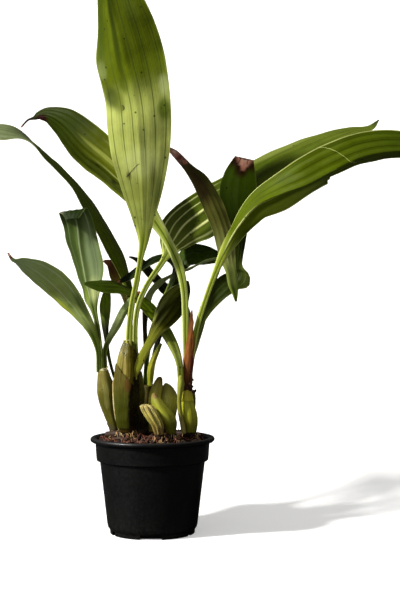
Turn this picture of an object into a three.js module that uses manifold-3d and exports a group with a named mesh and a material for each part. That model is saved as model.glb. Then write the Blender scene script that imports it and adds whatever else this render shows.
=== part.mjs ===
// A potted coelogyne orchid in leaf, in its black nursery pot, in millimetres with +Z up.
// The origin is the middle of the pot's underside, +X is to the right and +Y is to the rear.
// Every leaf, pseudobulb and sheath is its own closed solid, and neighbours keep a small gap.
import * as THREE from "three";
import { mergeVertices } from "three/addons/utils/BufferGeometryUtils.js";
import Module from "manifold-3d";

const wasm = await Module();
wasm.setup();

// Driving sizes of the pot
const POT_HEIGHT = 95.5;
const RIM_RADIUS = 62;
const COLLAR_RADIUS = 57;
const BODY_TOP_RADIUS = 52.3;
const FOOT_RADIUS = 42.2;
const LIP_HEIGHT = 4.5;
const EDGE_ROUND = 1.2;
const COLLAR_BOTTOM = 73.3;
const COLLAR_TAPER = 1.9;
const STEP_HEIGHT = 3.3;
const POT_WALL = 1.6;
const FLOOR_THICKNESS = 2.4;
const NOTCH_COUNT = 5;
const NOTCH_WIDTH = 21;
const NOTCH_HEIGHT = 4.5;
const NOTCH_DEPTH = 7;
const POT_SIDES = 36;

// The moulded bead above the pot's foot: [how far it stands out past the foot, height]
const FOOT_BEAD = [
  [0.4, 4.4],
  [2, 6],
  [2.8, 8.7],
];

// Driving sizes of the growing medium
const SOIL_EDGE_HEIGHT = 91.5;
const SOIL_CROWN = 5;
const SOIL_CLEARANCE = 0.8;
const SOIL_SKIRT = 1.5;
const SOIL_SIDES = 32;
const SOIL_RINGS = 7;

// The bark's lumps are a sum of waves: [height, turn along x and along y in radians a mm, phase]
const BARK_WAVES = [
  [0.55, 0.41, 0.14, 0.3],
  [0.45, -0.19, 0.37, 0.8],
  [0.35, 0.83, -0.71, 2.1],
];

// Driving sizes of the rhizome and the roots that creep over the bark
const RHIZOME_RADIUS = 3;
const RHIZOME_SIDES = 7;
const ROOT_RADIUS = 1.5;
const ROOT_SIDES = 5;
const ROOT_COUNT = 15;
const ROOT_STEPS = 4;
const ROOT_STRIDE = 6.5;
const ROOT_REACH = 50;
const ROOT_SPREAD = 1.6;
const ROOT_WANDER = 1.3;
const ROOT_LIFT = 1.7;

// Driving sizes of the leaves
const BLADE_THICKNESS = 1;
const SMALLEST_HALF_WIDTH = 1.2;
const PETIOLE_HALF_WIDTH = 4;
const BLADE_HALF_WIDTH = 11;
const PETIOLE_FRONT = 0.2;
const PETIOLE_BACK = 0.75;
const PLEAT_SHARE = 0.032;
const SEAT_GAP = 0.3;

// Colours read off the plant
const LEAF_GREEN = 0x5d7328;
const LEAF_DARK = 0x34421a;
const LEAF_GREY = 0x5b6b48;
const LEAF_PALE = 0x93a03f;
const BULB_GREEN = 0x6f8032;
const BULB_OLIVE = 0x5c5a26;
const BRACT_BROWN = 0x6d4a33;
const STRAW = 0xa9a467;
const BARK_BROWN = 0x3b2a20;
const ROOT_BROWN = 0x8a5f45;
const POT_BLACK = 0x17181a;

// Each leaf is swept along stations picked from base to tip.
// A station is [x, y, z, half width, roll, fold], in millimetres and degrees.
// Roll turns the blade about its midrib, and fold bends its two halves off flat.
const LEAVES = [
  {
    name: "leaf_centre_tall",
    pleats: 3,
    stations: [
      [-22.8, -21, 189.8, 2.9, 0, 0],
      [-21.9, -21, 207.4, 2.9, 0, -10],
      [-19.1, -22, 229.1, 2.9, 0, -12],
      [-14.6, -24, 250.6, 2.9, 0, -12],
      [-10.8, -26, 273.1, 2.9, 0, -14],
      [-7.8, -28, 290.6, 5.4, 0, -14],
      [-8, -30, 312, 11.7, 0, -14],
      [-9, -33, 341, 21.4, 0, -14],
      [-11, -38, 379, 30, 0, -12],
      [-15, -44, 425, 34.2, 16, -12],
      [-25, -52, 464, 38.3, 20, -22],
      [-36, -65, 511, 32.2, 36, -26],
      [-40, -79, 540, 17.7, 36, -24],
      [-41.2, -92, 566.2, 1.2, 36, -20],
    ],
  },
  {
    name: "leaf_upper_left",
    pleats: 3,
    stations: [
      [33.4, -15, 180.1, 3, 0, -10],
      [33, -15, 197.4, 3.1, 0, -12],
      [32.9, -14, 214.2, 3.4, 0, -12],
      [31.6, -13, 241.9, 3.6, 0, -14],
      [26.1, -11, 266.7, 4.6, 5, -14],
      [12, -6, 296, 8.5, 15, -16],
      [-5, 0, 321, 13.5, 25, -14],
      [-23, 7, 347, 18.6, 32, -12],
      [-46, 14, 371, 21.2, 38, -12],
      [-68, 21, 392, 21.4, 38, -14],
      [-90, 28, 413, 14.8, 34, -14],
      [-107, 33, 423, 8.7, 28, -12],
      [-121.7, 37, 420.6, 4.1, 20, -10],
      [-137.2, 41, 411.4, 1.2, 15, -6],
    ],
  },
  {
    name: "leaf_far_left",
    pleats: 2,
    stations: [
      [-29, 30, 138.2, 2.7, -30, -20],
      [-26.9, 38, 185.6, 2.9, -30, -20],
      [-24.2, 46, 226.8, 3.5, -40, -18],
      [-28, 50, 252, 7.3, -50, -14],
      [-39, 52, 281, 14.6, -60, -10],
      [-60, 52, 320, 20.9, -70, -8],
      [-80, 50, 350, 24, -78, -5],
      [-105, 51, 376, 24, -80, -4],
      [-131, 54, 399, 20.9, -77, -4],
      [-157, 58, 409, 15.7, -64, -8],
      [-184, 62, 410, 10.5, -56, -10],
      [-214.2, 66, 399.7, 1.2, -50, -6],
    ],
  },
  {
    name: "leaf_left_folded",
    pleats: 2,
    stations: [
      [-51.4, -3, 164.2, 2.3, 0, -10],
      [-51.9, -3, 182.1, 2.3, 0, -10],
      [-54.4, -2, 202.1, 2.4, 0, -10],
      [-59.1, 0, 223, 4, 14, -16],
      [-65, 3, 242, 14, 36, -26],
      [-69, 4, 262, 20.6, 37, -28],
      [-73, 2, 285, 19.5, 26, -24],
      [-75, -3, 306, 16.5, 10, -18],
      [-78, -10, 319, 14.5, 0, -6],
      [-78, -17, 320, 12.3, 0, 0],
      [-78.1, -23, 311.4, 5.9, 0, 0],
    ],
  },
  {
    name: "leaf_lower_left",
    pleats: 2,
    stations: [
      [-53.3, -9.5, 164.5, 2.2, 0, -10],
      [-54.2, -10, 182.4, 2.3, 0, -10],
      [-59.4, -13, 199.4, 4.9, 20, -14],
      [-69, -18, 215, 10.3, 35, -12],
      [-82, -24, 232, 15.2, 42, -12],
      [-97, -34, 248, 16.5, 46, -10],
      [-111, -44, 259, 14.4, 48, -10],
      [-123, -54, 267, 8.6, 48, -10],
      [-135.3, -64, 273.2, 1.2, 40, -6],
    ],
  },
  {
    name: "leaf_inner_left",
    pleats: 2,
    stations: [
      [-8.4, 17, 146.8, 2.3, 0, -10],
      [-5.4, 18, 179.2, 2.4, 0, -10],
      [1.6, 20, 206.6, 2.5, 0, -12],
      [9.8, 18, 230, 2.6, 0, -12],
      [19.1, 14, 251.2, 2.8, 0, -12],
      [23.1, 15, 266.4, 4, -20, -14],
      [15, 18, 277, 9.1, -48, -12],
      [0, 17, 274, 12.7, -60, -8],
      [-15, 16, 264, 11.7, -58, -8],
      [-27, 19, 255, 6.1, -50, -8],
      [-36.2, 21, 249.8, 1.2, -40, -6],
    ],
  },
  {
    name: "leaf_inner_right",
    pleats: 2,
    stations: [
      [-2.9, 20.5, 147.2, 2.3, 0, -10],
      [1.5, 25, 178.9, 2.5, 0, -10],
      [9.6, 27, 206.4, 2.6, 0, -12],
      [17.7, 28.5, 232, 2.7, 0, -12],
      [24.9, 30, 254.6, 3.3, 10, -12],
      [30, 33, 271, 7.7, 35, -12],
      [41, 34, 278, 13.9, 45, -8],
      [54, 34, 277, 12.9, 50, -8],
      [67, 33, 275, 8.2, 50, -8],
      [80.2, 31, 271, 1.2, 40, -6],
    ],
  },
  {
    name: "leaf_low_crossing",
    pleats: 2,
    stations: [
      [28.7, -20, 148.8, 3.1, 0, -12],
      [26.9, -19, 171, 3.5, -8, -14],
      [19, -6, 192, 6.5, -30, -12],
      [7, 1, 211, 9.5, -44, -8],
      [-6, 10, 227, 14.1, -54, -6],
      [-20, 13, 239, 14.2, -60, -5],
      [-34, 3, 245, 13, -60, -5],
      [-47, -11, 246, 10.9, -56, -6],
      [-57, -15, 247, 6.4, -50, -8],
      [-66.6, -17, 248.2, 1.2, -44, -6],
    ],
  },
  {
    name: "leaf_small_dark",
    pleats: 1,
    stations: [
      [-34.8, 26, 138.2, 1.6, 0, -8],
      [-40.4, 20, 155.8, 1.6, 0, -8],
      [-44.4, 15, 172.3, 1.6, 0, -8],
      [-46.8, 13, 188.5, 2, 0, -10],
      [-48.2, 12, 205.7, 3.6, 10, -14],
      [-49, 12, 221, 6.1, 20, -14],
      [-47.5, 12, 235, 5, 20, -12],
      [-45.5, 12, 246.1, 1.2, 20, -6],
    ],
  },
  {
    name: "leaf_narrow_young",
    pleats: 1,
    stations: [
      [-46.9, -5.5, 164.3, 2.1, 0, -8],
      [-47.1, -6, 182.2, 2.4, 0, -10],
      [-42.1, -7, 194.2, 3.3, -20, -20],
      [-35.1, -7, 205.7, 4.9, -30, -22],
      [-27.2, -7, 221.1, 5.2, -30, -22],
      [-19.7, -7, 232, 3.8, -25, -16],
      [-12.2, -8, 240.4, 1.2, -20, -6],
    ],
  },
  {
    name: "leaf_rear_left",
    pleats: 1,
    stations: [
      [-23.6, 34, 138.4, 2.1, 0, -8],
      [-24.1, 44, 180.2, 2.3, 0, -8],
      [-25.7, 54, 213.2, 2.7, -10, -10],
      [-29, 58, 237, 6.3, -25, -12],
      [-38, 60, 258, 10.5, -40, -12],
      [-46, 60, 270, 6.3, -40, -10],
      [-54, 60, 273.2, 1.2, -35, -6],
    ],
  },
  {
    name: "leaf_dark_pointed",
    pleats: 2,
    stations: [
      [82.7, -5, 232, 1.2, 0, -4],
      [80.2, -6, 246.9, 3.4, 0, -8],
      [78.2, -7, 260.8, 4.8, 0, -10],
      [75, -8, 274, 8.1, -4, -12],
      [73, -9, 286, 9.3, -6, -12],
      [69, -9, 305, 10.1, -12, -12],
      [59, -9, 330, 10.7, -16, -12],
      [49, -8, 349, 9.1, -16, -12],
      [35.5, -6, 364.3, 5, -14, -10],
      [23.5, -4, 377.5, 4, -20, -10],
      [13.5, -2, 385.2, 1.2, -20, -6],
    ],
    stalk: [
      [37.2, 19, 141.6, 2.4, 0, -8],
      [38.8, 16, 169.2, 2.5, 0, -10],
      [50.4, 15, 209.7, 2.5, 0, -10],
      [57, 17, 235, 2.5, 0, -10],
      [61.1, 17, 252.3, 2.6, 0, -10],
      [66.5, 9, 266.3, 2.8, 0, -12],
      [71.3, -6, 278.8, 2.6, 0, -12],
    ],
  },
  {
    name: "leaf_dark_kinked",
    pleats: 2,
    stations: [
      [38.8, -9.5, 180.7, 2.8, 0, -10],
      [42.4, -6, 195.2, 3, 0, -12],
      [49.4, -1, 215.5, 4.6, 14, -14],
      [59, 4, 233, 7.2, 20, -14],
      [73, 8, 248, 10.3, 22, -12],
      [85, 10, 257, 13.1, 18, -10],
      [85.7, 10, 271.3, 4.6, -10, -8],
      [87, 9, 287, 6.2, -16, -10],
      [86, 9, 311, 11.6, -16, -10],
      [86, 9, 338, 19.1, -14, -10],
      [88, 9, 357, 16.6, -12, -8],
      [92, 8, 375, 9.6, -10, -4],
    ],
  },
  {
    name: "leaf_upper_right",
    pleats: 3,
    stations: [
      [-16.7, -13, 189.5, 2.6, 0, -8],
      [-16.3, -13, 210.2, 2.5, 0, -10],
      [-13, -12, 229, 2.6, 0, -10],
      [-5.2, -8, 246.9, 2.8, 0, -10],
      [5, -2, 262.9, 3, 4, -12],
      [13.3, 5, 276.2, 4.5, 12, -12],
      [20, 14, 291, 15.2, 14, -12],
      [32, 26, 309, 28.6, 22, -12],
      [54, 36, 327, 34, 28, -10],
      [79, 42, 346, 31.1, 32, -10],
      [110, 52, 368, 28.2, 36, -10],
      [145, 60, 387, 24.7, 37, -10],
      [179, 67, 403, 18.5, 40, -10],
      [209, 72, 412, 10.6, 42, -10],
      [238.4, 76, 422.5, 1.2, 40, -6],
    ],
  },
  {
    name: "leaf_right_long",
    pleats: 3,
    stations: [
      [39.7, -16.5, 180.1, 2.5, 0, -8],
      [44.8, -18, 206.4, 2.5, 0, -10],
      [54, -19, 235.9, 2.6, 0, -12],
      [63.9, -22, 262.4, 3.5, 4, -20],
      [73, -26, 283, 7.4, 14, -36],
      [85, -30, 304, 12.2, 18, -42],
      [103, -33, 324, 18.5, 8, -44],
      [126, -35, 335, 21.8, -12, -42],
      [150, -40, 344, 25.6, -30, -42],
      [176, -46, 357, 26, -34, -40],
      [206, -53, 370, 22.9, -34, -36],
      [237, -60, 374, 19, -34, -32],
      [270, -67, 371, 11.3, -34, -26],
      [299.1, -73, 358.8, 1.2, -30, -16],
    ],
  },
  {
    name: "leaf_new_growth",
    pleats: 2,
    stations: [
      [-16.9, -3, 152.6, 2.9, 0, -12],
      [-16.3, -5, 168.3, 3.2, 0, -14],
      [-11.6, -10, 180.4, 3.4, 10, -20],
      [-4, -13, 192.4, 4.2, 20, -26],
      [4, -13, 203, 7.4, 10, -22],
      [13, -10, 216, 11.9, 0, -16],
      [21, -6, 228, 13.9, -6, -12],
      [27, -3, 237, 11.5, -8, -10],
      [32, -1, 244, 7, -8, -8],
      [35.4, 0, 251, 1.2, -8, -6],
    ],
  },
  {
    name: "shoot_young",
    pleats: 1,
    stations: [
      [-3, 10.5, 147.3, 2.4, 0, -10],
      [-2.3, 5, 160.7, 3.4, 0, -16],
      [0.8, 2, 171.9, 3.2, 0, -16],
      [4.8, 2, 180.9, 2.4, 0, -12],
      [8.5, 2, 188.5, 1.2, 0, -6],
    ],
  },
  {
    name: "leaf_rear_thin",
    pleats: 1,
    stations: [
      [-6.9, 40, 138, 2.3, 0, -8],
      [-8.4, 40, 178.3, 2.4, 0, -10],
      [-9.3, 38, 209.3, 2.7, -20, -12],
      [-5, 34, 234, 6.2, -54, -8],
      [5, 29.5, 248, 7.8, -60, -4],
      [19.8, 25.5, 257.5, 5.5, -60, -4],
      [35.2, 17.5, 262.9, 4.7, -64, -4],
      [51.4, 13, 270.4, 3.6, -60, -4],
      [60.5, 10, 273, 3, -56, -4],
      [69.5, 8, 275.3, 1.2, -50, -4],
    ],
  },
  {
    name: "leaf_rear_right",
    pleats: 2,
    stations: [
      [32.1, 24, 141.5, 2.4, 0, -8],
      [35.1, 29, 180.8, 2.6, 0, -10],
      [35.6, 36, 209.3, 3.5, -10, -14],
      [28, 43, 229, 8.3, -35, -12],
      [15, 51, 242, 11.5, -46, -8],
      [1, 52, 256, 12.5, -50, -8],
      [-10, 50, 268, 10.4, -50, -8],
      [-20, 44, 275, 4.1, -45, -8],
      [-26.1, 43, 276.5, 1.2, -40, -6],
    ],
  },
];

const LEAF_COLOURS = {
  leaf_centre_tall: LEAF_PALE,
  leaf_upper_left: LEAF_GREEN,
  leaf_left_folded: LEAF_GREY,
  leaf_lower_left: LEAF_GREY,
  leaf_upper_right: LEAF_GREEN,
  leaf_right_long: LEAF_PALE,
  leaf_narrow_young: LEAF_PALE,
  leaf_new_growth: LEAF_GREEN,
  shoot_young: LEAF_PALE,
  leaf_rear_thin: LEAF_GREY,
};

// Swollen stems and sheaths, as [x, y, z, radius] from the top down
const STEMS = {
  pseudobulb_left: [
    [-49.3, -6, 163.9, 4.9],
    [-48.3, -6, 156.4, 6.4],
    [-46.7, -6, 146.4, 8.6],
    [-46, -6, 139.5, 9.2],
    [-44.4, -6, 129.5, 8.5],
    [-42.5, -6, 120.5, 7.1],
    [-40.3, -6, 112, 5.7],
    [-38, -6, 105, 4.4],
    [-37.4, -6, 100.2, 3.6],
  ],
  pseudobulb_centre: [
    [-20.3, -17, 189.2, 6.6],
    [-22.4, -17, 184.5, 7.2],
    [-24.3, -17, 175.8, 9.6],
    [-24.6, -17, 165, 11.2],
    [-24.6, -17, 154, 12],
    [-24.8, -17, 142, 12],
    [-24.9, -17, 128, 11.2],
    [-24.9, -17, 113.5, 9.7],
    [-25.2, -17, 100.4, 6.8],
  ],
  pseudobulb_back: [
    [-5.8, 15.5, 146.4, 7.9],
    [-6.3, 15.5, 138.8, 8.1],
    [-7.3, 15.5, 125.6, 7.5],
    [-8.3, 15.5, 110.5, 6.3],
    [-8.3, 15.5, 98.8, 5.1],
  ],
  pseudobulb_finger: [
    [7.4, -8, 155.9, 1.6],
    [6.8, -8, 152.9, 3.2],
    [4.7, -8, 145.6, 5.2],
    [2.6, -8, 137.6, 5.9],
    [1.4, -8, 127, 5.6],
    [1, -8, 115, 4.7],
    [0.7, -8, 100.4, 3.6],
  ],
  pseudobulb_front: [
    [3.4, -26, 141, 1.4],
    [4.3, -26, 137.6, 2.9],
    [6.5, -26, 133.6, 4.7],
    [9.2, -26, 129, 6],
    [12.2, -26, 123.7, 7.1],
    [15.4, -26, 118.4, 7.4],
    [18, -26, 112.5, 6.8],
    [19.6, -26, 106.8, 5.4],
    [20, -26, 101.4, 3.9],
  ],
  pseudobulb_short: [
    [13.4, 2, 148.9, 1.5],
    [14.6, 2, 145.7, 4.4],
    [15.4, 2, 141.5, 6.6],
    [16.2, 2, 135.4, 8.1],
    [16.1, 2, 125.8, 8.3],
    [15.7, 2, 114.5, 6.9],
    [15.3, 2, 99.3, 4.3],
  ],
  pseudobulb_shrivelled: [
    [-5.4, -36, 131, 3],
    [-4, -36, 128.6, 5.2],
    [-1.6, -36, 123.6, 5.9],
    [0.6, -36, 119.5, 5.9],
    [3.2, -36, 115.1, 5.5],
    [6, -36, 109.6, 4.6],
    [7.8, -36, 100.8, 3.2],
  ],
  pseudobulb_right: [
    [34.3, -10, 144.3, 4.8],
    [33.9, -10, 137.5, 5.5],
    [34.6, -10, 127.5, 6.6],
    [36.1, -10, 118.5, 7.6],
    [37.1, -10, 110, 7.2],
    [38, -10, 100.1, 5],
  ],
  pseudobulb_rear_left: [
    [-29, 30, 137.5, 9],
    [-29, 30, 128.5, 10.2],
    [-28.4, 30, 113.1, 8.8],
    [-28.4, 30, 97.7, 5.9],
  ],
  pseudobulb_rear_centre: [
    [-6.9, 40, 137.6, 4.5],
    [-6.9, 40, 127.6, 7.6],
    [-6.9, 40, 112.1, 7.2],
    [-6.9, 40, 97.1, 5],
  ],
  pseudobulb_rear_right: [
    [34.5, 21.5, 141, 7.3],
    [34.4, 21.5, 131.2, 8.3],
    [34.2, 21.5, 114.9, 7.5],
    [34.2, 21.5, 98.7, 5.1],
  ],
  sheath_brown: [
    [37.2, -13.8, 179.6, 6.4],
    [36.6, -13.6, 174.7, 5.3],
    [35.4, -12, 161.7, 4.4],
    [34.5, -10.4, 144.8, 4.5],
  ],
  sheath_left: [
    [28.6, -20, 148.4, 3.4],
    [27.5, -20, 140, 2.5],
    [26.9, -20, 131, 2.1],
    [28.1, -20, 119.5, 2.1],
    [30.3, -19.5, 108.5, 2.3],
    [31.7, -19, 100.1, 2.2],
  ],
  sheath_new_growth: [
    [-16.8, -3, 152.2, 3.4],
    [-15.6, -3, 138.2, 4.2],
    [-13.8, -3, 118.3, 4.7],
    [-12.9, -3, 99.8, 3.4],
  ],
};

// [colour, ribs round the stem, rib height as a share of the radius, sides]
const STEM_FINISH = {
  pseudobulb_left: [BULB_GREEN, 5, 0.05, 20],
  pseudobulb_centre: [BULB_OLIVE, 5, 0.05, 20],
  pseudobulb_back: [BULB_OLIVE, 4, 0.05, 16],
  pseudobulb_finger: [BULB_GREEN, 4, 0.06, 12],
  pseudobulb_front: [BULB_GREEN, 4, 0.06, 16],
  pseudobulb_short: [BULB_GREEN, 4, 0.06, 16],
  pseudobulb_shrivelled: [STRAW, 7, 0.13, 21],
  pseudobulb_right: [BULB_GREEN, 4, 0.06, 16],
  pseudobulb_rear_left: [BULB_OLIVE, 4, 0.05, 12],
  pseudobulb_rear_centre: [BULB_OLIVE, 4, 0.05, 12],
  pseudobulb_rear_right: [BULB_OLIVE, 4, 0.05, 12],
  sheath_brown: [BRACT_BROWN, 6, 0.07, 18],
  sheath_left: [LEAF_PALE, 4, 0.06, 12],
  sheath_new_growth: [LEAF_PALE, 4, 0.06, 12],
};

// Dry or green bracts clasping a stem:
// [stem, first and last angle in degrees, first and last share of its height, place of its point, colour]
const BRACTS = {
  bract_centre: ["pseudobulb_centre", 176, 302, 0.38, 0.95, 0.2, BULB_GREEN],
  bract_left: ["pseudobulb_left", 150, 300, 0.78, 0.97, 0.5, BRACT_BROWN],
  bract_right: ["pseudobulb_right", 205, 335, 0.02, 0.3, 0.5, BRACT_BROWN],
};
const BRACT_THICKNESS = 0.8;
const BRACT_GAP = 0.5;
const BRACT_LOOSENESS = 0.03;
const BRACT_DIP = 0.3;
const BRACT_COLUMNS = 7;
const BRACT_ROWS = 4;

// A row of a leaf is kept where it has bent, widened or run on by this much since the last
const ROW_TURN = 15;
const ROW_WIDENING = 0.28;
const ROW_RUN = 40;
const NARROW_HALF_WIDTH = 8;
const FRAME_STEPS = 8;

const radians = THREE.MathUtils.degToRad;
const smoothstep = THREE.MathUtils.smoothstep;

// A small repeatable random source, so that the roots and bark come out the same each time
let seed = 41;
function random() {
  seed = (seed * 16807) % 2147483647;
  return seed / 2147483647;
}

function solidFrom(geometry) {
  const bare = geometry.clone();
  bare.deleteAttribute("normal");
  bare.deleteAttribute("uv");
  const merged = mergeVertices(bare, 1e-4);
  return new wasm.Manifold(
    new wasm.Mesh({
      numProp: 3,
      vertProperties: new Float32Array(merged.attributes.position.array),
      triVerts: new Uint32Array(merged.index.array),
    }),
  );
}

function geometryFrom(solid) {
  const mesh = solid.getMesh();
  const geometry = new THREE.BufferGeometry();
  geometry.setAttribute("position", new THREE.BufferAttribute(mesh.vertProperties, 3));
  geometry.setIndex(new THREE.BufferAttribute(mesh.triVerts, 1));
  geometry.computeVertexNormals();
  return geometry;
}

function geometryOf(points, faces) {
  const geometry = new THREE.BufferGeometry();
  geometry.setAttribute(
    "position",
    new THREE.BufferAttribute(new Float32Array(points.flatMap((p) => [p.x, p.y, p.z])), 3),
  );
  geometry.setIndex(faces.flat());
  geometry.computeVertexNormals();
  return geometry;
}

// A smooth line through the stations, knotted by their spacing.
// The blade's facing is carried along it from the front without twisting.
function spineThrough(stations) {
  const knots = [0];
  for (let i = 1; i < stations.length; i++) {
    const [a, b] = [stations[i - 1], stations[i]];
    knots.push(knots[i - 1] + Math.hypot(b[0] - a[0], b[1] - a[1], b[2] - a[2]));
  }
  const slopes = stations.map((_, i) => {
    const [low, high] = [Math.max(i - 1, 0), Math.min(i + 1, stations.length - 1)];
    const run = knots[high] - knots[low];
    return stations[high].map((value, k) => (value - stations[low][k]) / run);
  });
  const samples = [];
  const facing = new THREE.Vector3(0, -1, 0);
  const push = (values, direction) => {
    const tangent = new THREE.Vector3(...direction).normalize();
    facing.addScaledVector(tangent, -facing.dot(tangent)).normalize();
    const across = new THREE.Vector3().crossVectors(tangent, facing);
    samples.push({ values, tangent, facing: facing.clone(), across });
  };
  for (let i = 0; i < stations.length - 1; i++) {
    const run = knots[i + 1] - knots[i];
    for (let step = 0; step < FRAME_STEPS; step++) {
      const t = step / FRAME_STEPS;
      const weights = [
        2 * t ** 3 - 3 * t ** 2 + 1,
        (t ** 3 - 2 * t ** 2 + t) * run,
        -2 * t ** 3 + 3 * t ** 2,
        (t ** 3 - t ** 2) * run,
      ];
      const rates = [
        6 * t ** 2 - 6 * t,
        (3 * t ** 2 - 4 * t + 1) * run,
        6 * t - 6 * t ** 2,
        (3 * t ** 2 - 2 * t) * run,
      ];
      const blend = (w, k) =>
        w[0] * stations[i][k] + w[1] * slopes[i][k] + w[2] * stations[i + 1][k] + w[3] * slopes[i + 1][k];
      const values = stations[i].map((_, k) => blend(weights, k));
      push(values, [0, 1, 2].map((k) => blend(rates, k)));
    }
  }
  const last = stations.length - 1;
  push(stations[last].slice(), slopes[last].slice(0, 3));
  return samples;
}

// Keeps the rows that the solid needs: close together only where the leaf bends or widens
function rowsOf(stations) {
  const samples = spineThrough(stations);
  const kept = [samples[0]];
  samples.slice(1, -1).forEach((sample) => {
    const last = kept[kept.length - 1];
    const turned = THREE.MathUtils.radToDeg(sample.tangent.angleTo(last.tangent));
    const twisted = Math.abs(sample.values[4] - last.values[4]) / 2;
    const halfWidth = Math.max(sample.values[3], NARROW_HALF_WIDTH);
    const widened = Math.abs(sample.values[3] - last.values[3]) / halfWidth;
    const run = Math.hypot(...[0, 1, 2].map((k) => sample.values[k] - last.values[k]));
    const bent = turned > ROW_TURN || twisted > ROW_TURN;
    if (bent || widened > ROW_WIDENING || run > ROW_RUN) kept.push(sample);
  });
  kept.push(samples[samples.length - 1]);
  return kept;
}

// Closes two grids of points, the front and the back of one sheet, into a solid
function closedSheet(front, back) {
  const rows = front.length;
  const columns = front[0].length;
  const points = [...front.flat(), ...back.flat()];
  const f = (i, j) => i * columns + j;
  const b = (i, j) => rows * columns + f(i, j);
  const faces = [];
  for (let i = 0; i < rows - 1; i++) {
    for (let j = 0; j < columns - 1; j++) {
      faces.push([f(i, j), f(i, j + 1), f(i + 1, j + 1)], [f(i, j), f(i + 1, j + 1), f(i + 1, j)]);
      faces.push([b(i, j), b(i + 1, j + 1), b(i, j + 1)], [b(i, j), b(i + 1, j), b(i + 1, j + 1)]);
    }
    const end = columns - 1;
    faces.push([f(i, 0), f(i + 1, 0), b(i + 1, 0)], [f(i, 0), b(i + 1, 0), b(i, 0)]);
    faces.push([f(i + 1, end), f(i, end), b(i, end)], [f(i + 1, end), b(i, end), b(i + 1, end)]);
  }
  for (let j = 0; j < columns - 1; j++) {
    const end = rows - 1;
    faces.push([f(0, j + 1), f(0, j), b(0, j)], [f(0, j + 1), b(0, j), b(0, j + 1)]);
    faces.push([f(end, j), f(end, j + 1), b(end, j + 1)], [f(end, j), b(end, j + 1), b(end, j)]);
  }
  return geometryOf(points, faces);
}

// A pleated blade that draws in to a channelled petiole
function leafGeometry(stations, pleats) {
  const columns = 4 * pleats;
  const front = [];
  const back = [];
  for (const { values, facing, across } of rowsOf(stations)) {
    const [x, y, z, width, roll, fold] = values;
    const half = Math.max(width, SMALLEST_HALF_WIDTH);
    const [turn, bend] = [radians(roll), radians(fold)];
    const side = across.clone().multiplyScalar(Math.cos(turn));
    side.addScaledVector(facing, Math.sin(turn));
    const normal = facing.clone().multiplyScalar(Math.cos(turn));
    normal.addScaledVector(across, -Math.sin(turn));
    const stalk = 1 - smoothstep(half, PETIOLE_HALF_WIDTH, BLADE_HALF_WIDTH);
    const frontRow = [];
    const backRow = [];
    for (let j = 0; j <= columns; j++) {
      const v = (2 * j) / columns - 1;
      const reach = Math.abs(v);
      const hand = Math.sign(v);
      const out = side.clone().multiplyScalar(v * Math.cos(bend));
      out.addScaledVector(normal, reach * Math.sin(bend)).multiplyScalar(half);
      const pleat = PLEAT_SHARE * half * (1 - stalk) * (j % 2 === 0 ? 1 : -1);
      const lean = normal.clone().multiplyScalar(hand === 0 ? 1 : Math.cos(bend));
      lean.addScaledVector(side, -hand * Math.sin(bend));
      const middle = new THREE.Vector3(x, y, z).add(out).addScaledVector(lean, pleat);
      const round = stalk * Math.sqrt(Math.max(0, 1 - v * v)) * half;
      frontRow.push(middle.clone().addScaledVector(lean, BLADE_THICKNESS / 2 + PETIOLE_FRONT * round));
      backRow.push(middle.clone().addScaledVector(lean, -BLADE_THICKNESS / 2 - PETIOLE_BACK * round));
    }
    front.push(frontRow);
    back.push(backRow);
  }
  return closedSheet(front, back);
}

// The ring of points round a stem at one of its stations
function stemRing([x, y, z, radius], sides, ribs, ribShare) {
  return Array.from({ length: sides }, (_, k) => {
    const angle = (2 * Math.PI * k) / sides;
    const r = radius * (1 + ribShare * Math.cos(ribs * angle));
    return new THREE.Vector3(x + r * Math.cos(angle), y + r * Math.sin(angle), z);
  });
}

// A stem lofted through level rings, flat at both ends
function stemGeometry(stations, sides, ribs, ribShare) {
  const rings = stations.map((station) => stemRing(station, sides, ribs, ribShare));
  const points = rings.flat();
  const [top, bottom] = [points.length, points.length + 1];
  const ends = [stations[0], stations[stations.length - 1]];
  ends.forEach(([x, y, z]) => points.push(new THREE.Vector3(x, y, z)));
  const at = (i, k) => i * sides + (k % sides);
  const faces = [];
  for (let k = 0; k < sides; k++) {
    faces.push([top, at(0, k), at(0, k + 1)]);
    faces.push([bottom, at(rings.length - 1, k + 1), at(rings.length - 1, k)]);
    for (let i = 0; i < rings.length - 1; i++) {
      faces.push([at(i, k), at(i + 1, k), at(i + 1, k + 1)], [at(i, k), at(i + 1, k + 1), at(i, k + 1)]);
    }
  }
  return geometryOf(points, faces);
}

// A station part of the way down a stem, the share running from 0 at its top to 1
function stationAt(stations, share) {
  const place = share * (stations.length - 1);
  const i = Math.min(Math.floor(place), stations.length - 2);
  return stations[i].map((value, k) => value + (place - i) * (stations[i + 1][k] - value));
}

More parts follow.
